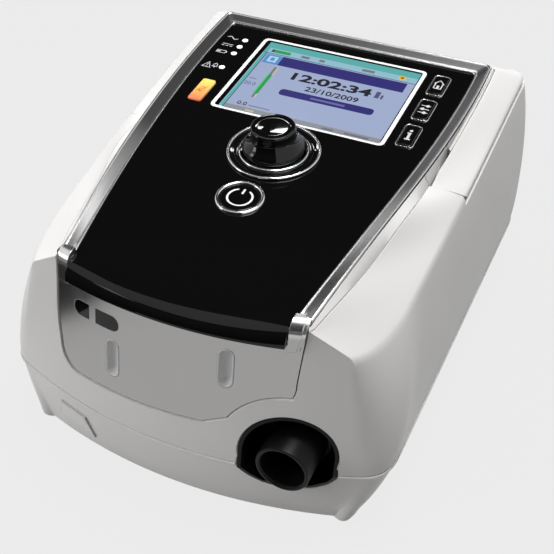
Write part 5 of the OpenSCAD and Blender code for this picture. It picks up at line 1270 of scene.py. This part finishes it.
# %% Outlet
spigot = [(9.0, 83), (9.0, 113.2), (9.25, 113.9), (9.75, 114.3), (10.3, 114.35), (10.75, 114.1), (11.0, 113.4),
          (11.0, 95.8), (11.25, 95.15), (12.6, 95.0), (12.9, 94.6), (12.9, 92.1), (10.2, 92.0), (10.2, 83)]
outlet_place = Matrix.Translation((OUTLET_X, 0, OUTLET_Z)) @ Matrix.Rotation(math.pi / 2, 4, "X")
finished(turned("outlet_spigot", spigot, outlet_place, ring=True), moulded_black,
         stands_for=["outlet_connector"])

# %% [markdown]
# ## Floor, world and lamps
#
# The photograph is a studio shot on white: soft light from above and behind, weak fill from both sides in front,
# and no hard shadow. The floor shows the camera an even near-white and keeps a faint shadow under the case.

# %% Floor and world
WHITE_LEVEL, WORLD_LEVEL = 0.863, 0.15


def seen_directly(tree):
    """1 for rays from the camera, from mirrors and through glass, and 0 for light that falls on things."""
    path = tree.nodes.new("ShaderNodeLightPath")
    seen = Wire(tree, path.outputs["Is Camera Ray"]) + Wire(tree, path.outputs["Is Glossy Ray"])
    seen = seen + Wire(tree, path.outputs["Is Transmission Ray"])
    return seen.math("MINIMUM", seen, 1.0)


def lit_white(tree, level, shading, share):
    """Shows an even level to camera, mirror and glass rays, with a share of the plain shading left in."""
    glow = tree.nodes.new("ShaderNodeEmission")
    glow.inputs["Color"].default_value = grey(level)
    blend = tree.nodes.new("ShaderNodeMixShader")
    plug(tree, blend.inputs[0], seen_directly(tree) * (1 - share))
    tree.links.new(shading, blend.inputs[1])
    tree.links.new(glow.outputs[0], blend.inputs[2])
    return blend.outputs[0]

floor = raw("floor", [(-2500, -2500, 0), (2500, -2500, 0), (2500, 2500, 0), (-2500, 2500, 0)], [[0, 1, 2, 3]])
floor_material = bpy.data.materials.new("floor")
floor_material.use_nodes = True
floor_tree = floor_material.node_tree
floor_shader = floor_tree.nodes["Principled BSDF"]
floor_shader.inputs["Base Color"].default_value = grey(0.3)
floor_shader.inputs["Roughness"].default_value = 0.9
floor_white = lit_white(floor_tree, WHITE_LEVEL, floor_shader.outputs[0], 0.06)
floor_tree.links.new(floor_white, floor_tree.nodes["Material Output"].inputs[0])
floor.data.materials.append(floor_material)

world = bpy.data.worlds.new("world")
scene.world = world
world.use_nodes = True
background = world.node_tree.nodes["Background"]
background.inputs["Color"].default_value = grey(1.0)
background_level = seen_directly(world.node_tree) * (WHITE_LEVEL - WORLD_LEVEL) + WORLD_LEVEL
plug(world.node_tree, background.inputs["Strength"], background_level)
AIM = Vector((0, 0, 0.06))


def softbox(name, place, size, power):
    """A square lamp that looks at the machine; its light falls as power / (pi * distance squared)."""
    lamp = bpy.data.lights.new(name, "AREA")
    lamp.shape, lamp.size, lamp.energy = "SQUARE", size, power
    obj = bpy.data.objects.new(name, lamp)
    facing = (AIM - Vector(place)).to_track_quat("-Z", "Y").to_matrix().to_4x4()
    obj.matrix_world = Matrix.Translation(place) @ facing
    scene.collection.objects.link(obj)

softbox("overhead", (0.1, 0.1, 1.1), 0.45, 10.8)
softbox("key_left", (-0.4, 0.35, 0.95), 0.5, 1.3)
softbox("front_left", (-0.9, -0.7, 0.35), 0.5, 3.3)
softbox("front_high", (-0.6, -0.8, 0.9), 0.5, 2.5)
print(len(bpy.data.lights), "lamps")

# %% [markdown]
# Polished black shows only what it mirrors. Dull cards stand where the panel, the visor and the front plate would
# mirror the bright room: one behind the machine with a slightly paler one above it, one in front for the visor, and
# a low one on the left for the plate's dark corner. Two small windows glow behind them, and the flat top of the
# knob mirrors those as two white shapes. Only mirror rays see them, so the light on the plastic stays as it is.

# %% Cards and windows
WINDOW_GLOW = 28.0
mirror = Vector((-0.31, 0.60, 0.74)).normalized()
across_card = mirror.cross(Vector((0, 0, 1))).normalized()
up_card = across_card.cross(mirror)


def flag(name, corners, tone, glow=0.0):
    """A dull card on a stand, or a small window that glows, which only mirror rays see."""
    card = raw(name, [tuple(Vector(c) / MM) for c in corners], [list(range(len(corners)))])
    finish = Finish(name, Base_Color=grey(tone), Roughness=1.0, Emission_Color=grey(1.0), Emission_Strength=glow)
    card.data.materials.append(finish.material)
    card.visible_camera = card.visible_diffuse = card.visible_shadow = False

card_at = lambda a, b: Vector((0, 0, 0.11)) + mirror * 0.62 + across_card * (a * 0.42) + up_card * (b * 0.36)
flag("dark_card", [card_at(-1, -1), card_at(1, -1), card_at(1, 0.24), card_at(-1, 0.24)], 0.01)
flag("dim_card", [card_at(-1, 0.24), card_at(1, 0.24), card_at(1, 1.1), card_at(-1, 1.1)], 0.035)
flag("front_card", [(-0.8, -0.6, 0), (0.35, -0.6, 0), (0.35, -0.6, 1.3), (-0.8, -0.6, 1.3)], 0.01)
flag("side_card", [(-0.15, -0.1, 0), (-0.15, -0.34, 0), (-0.15, -0.34, 0.12), (-0.15, -0.1, 0.12)], 0.03)
flag("window_large", [(-0.1729, 0.3191, 0.4402), (-0.1678, 0.3257, 0.4393), (-0.156, 0.3319, 0.4395),
                      (-0.1556, 0.3239, 0.4417)], 0.8, WINDOW_GLOW)
flag("window_small", [(-0.1879, 0.321, 0.4372), (-0.1813, 0.3238, 0.4376), (-0.183, 0.3188, 0.4386)], 0.8, WINDOW_GLOW)
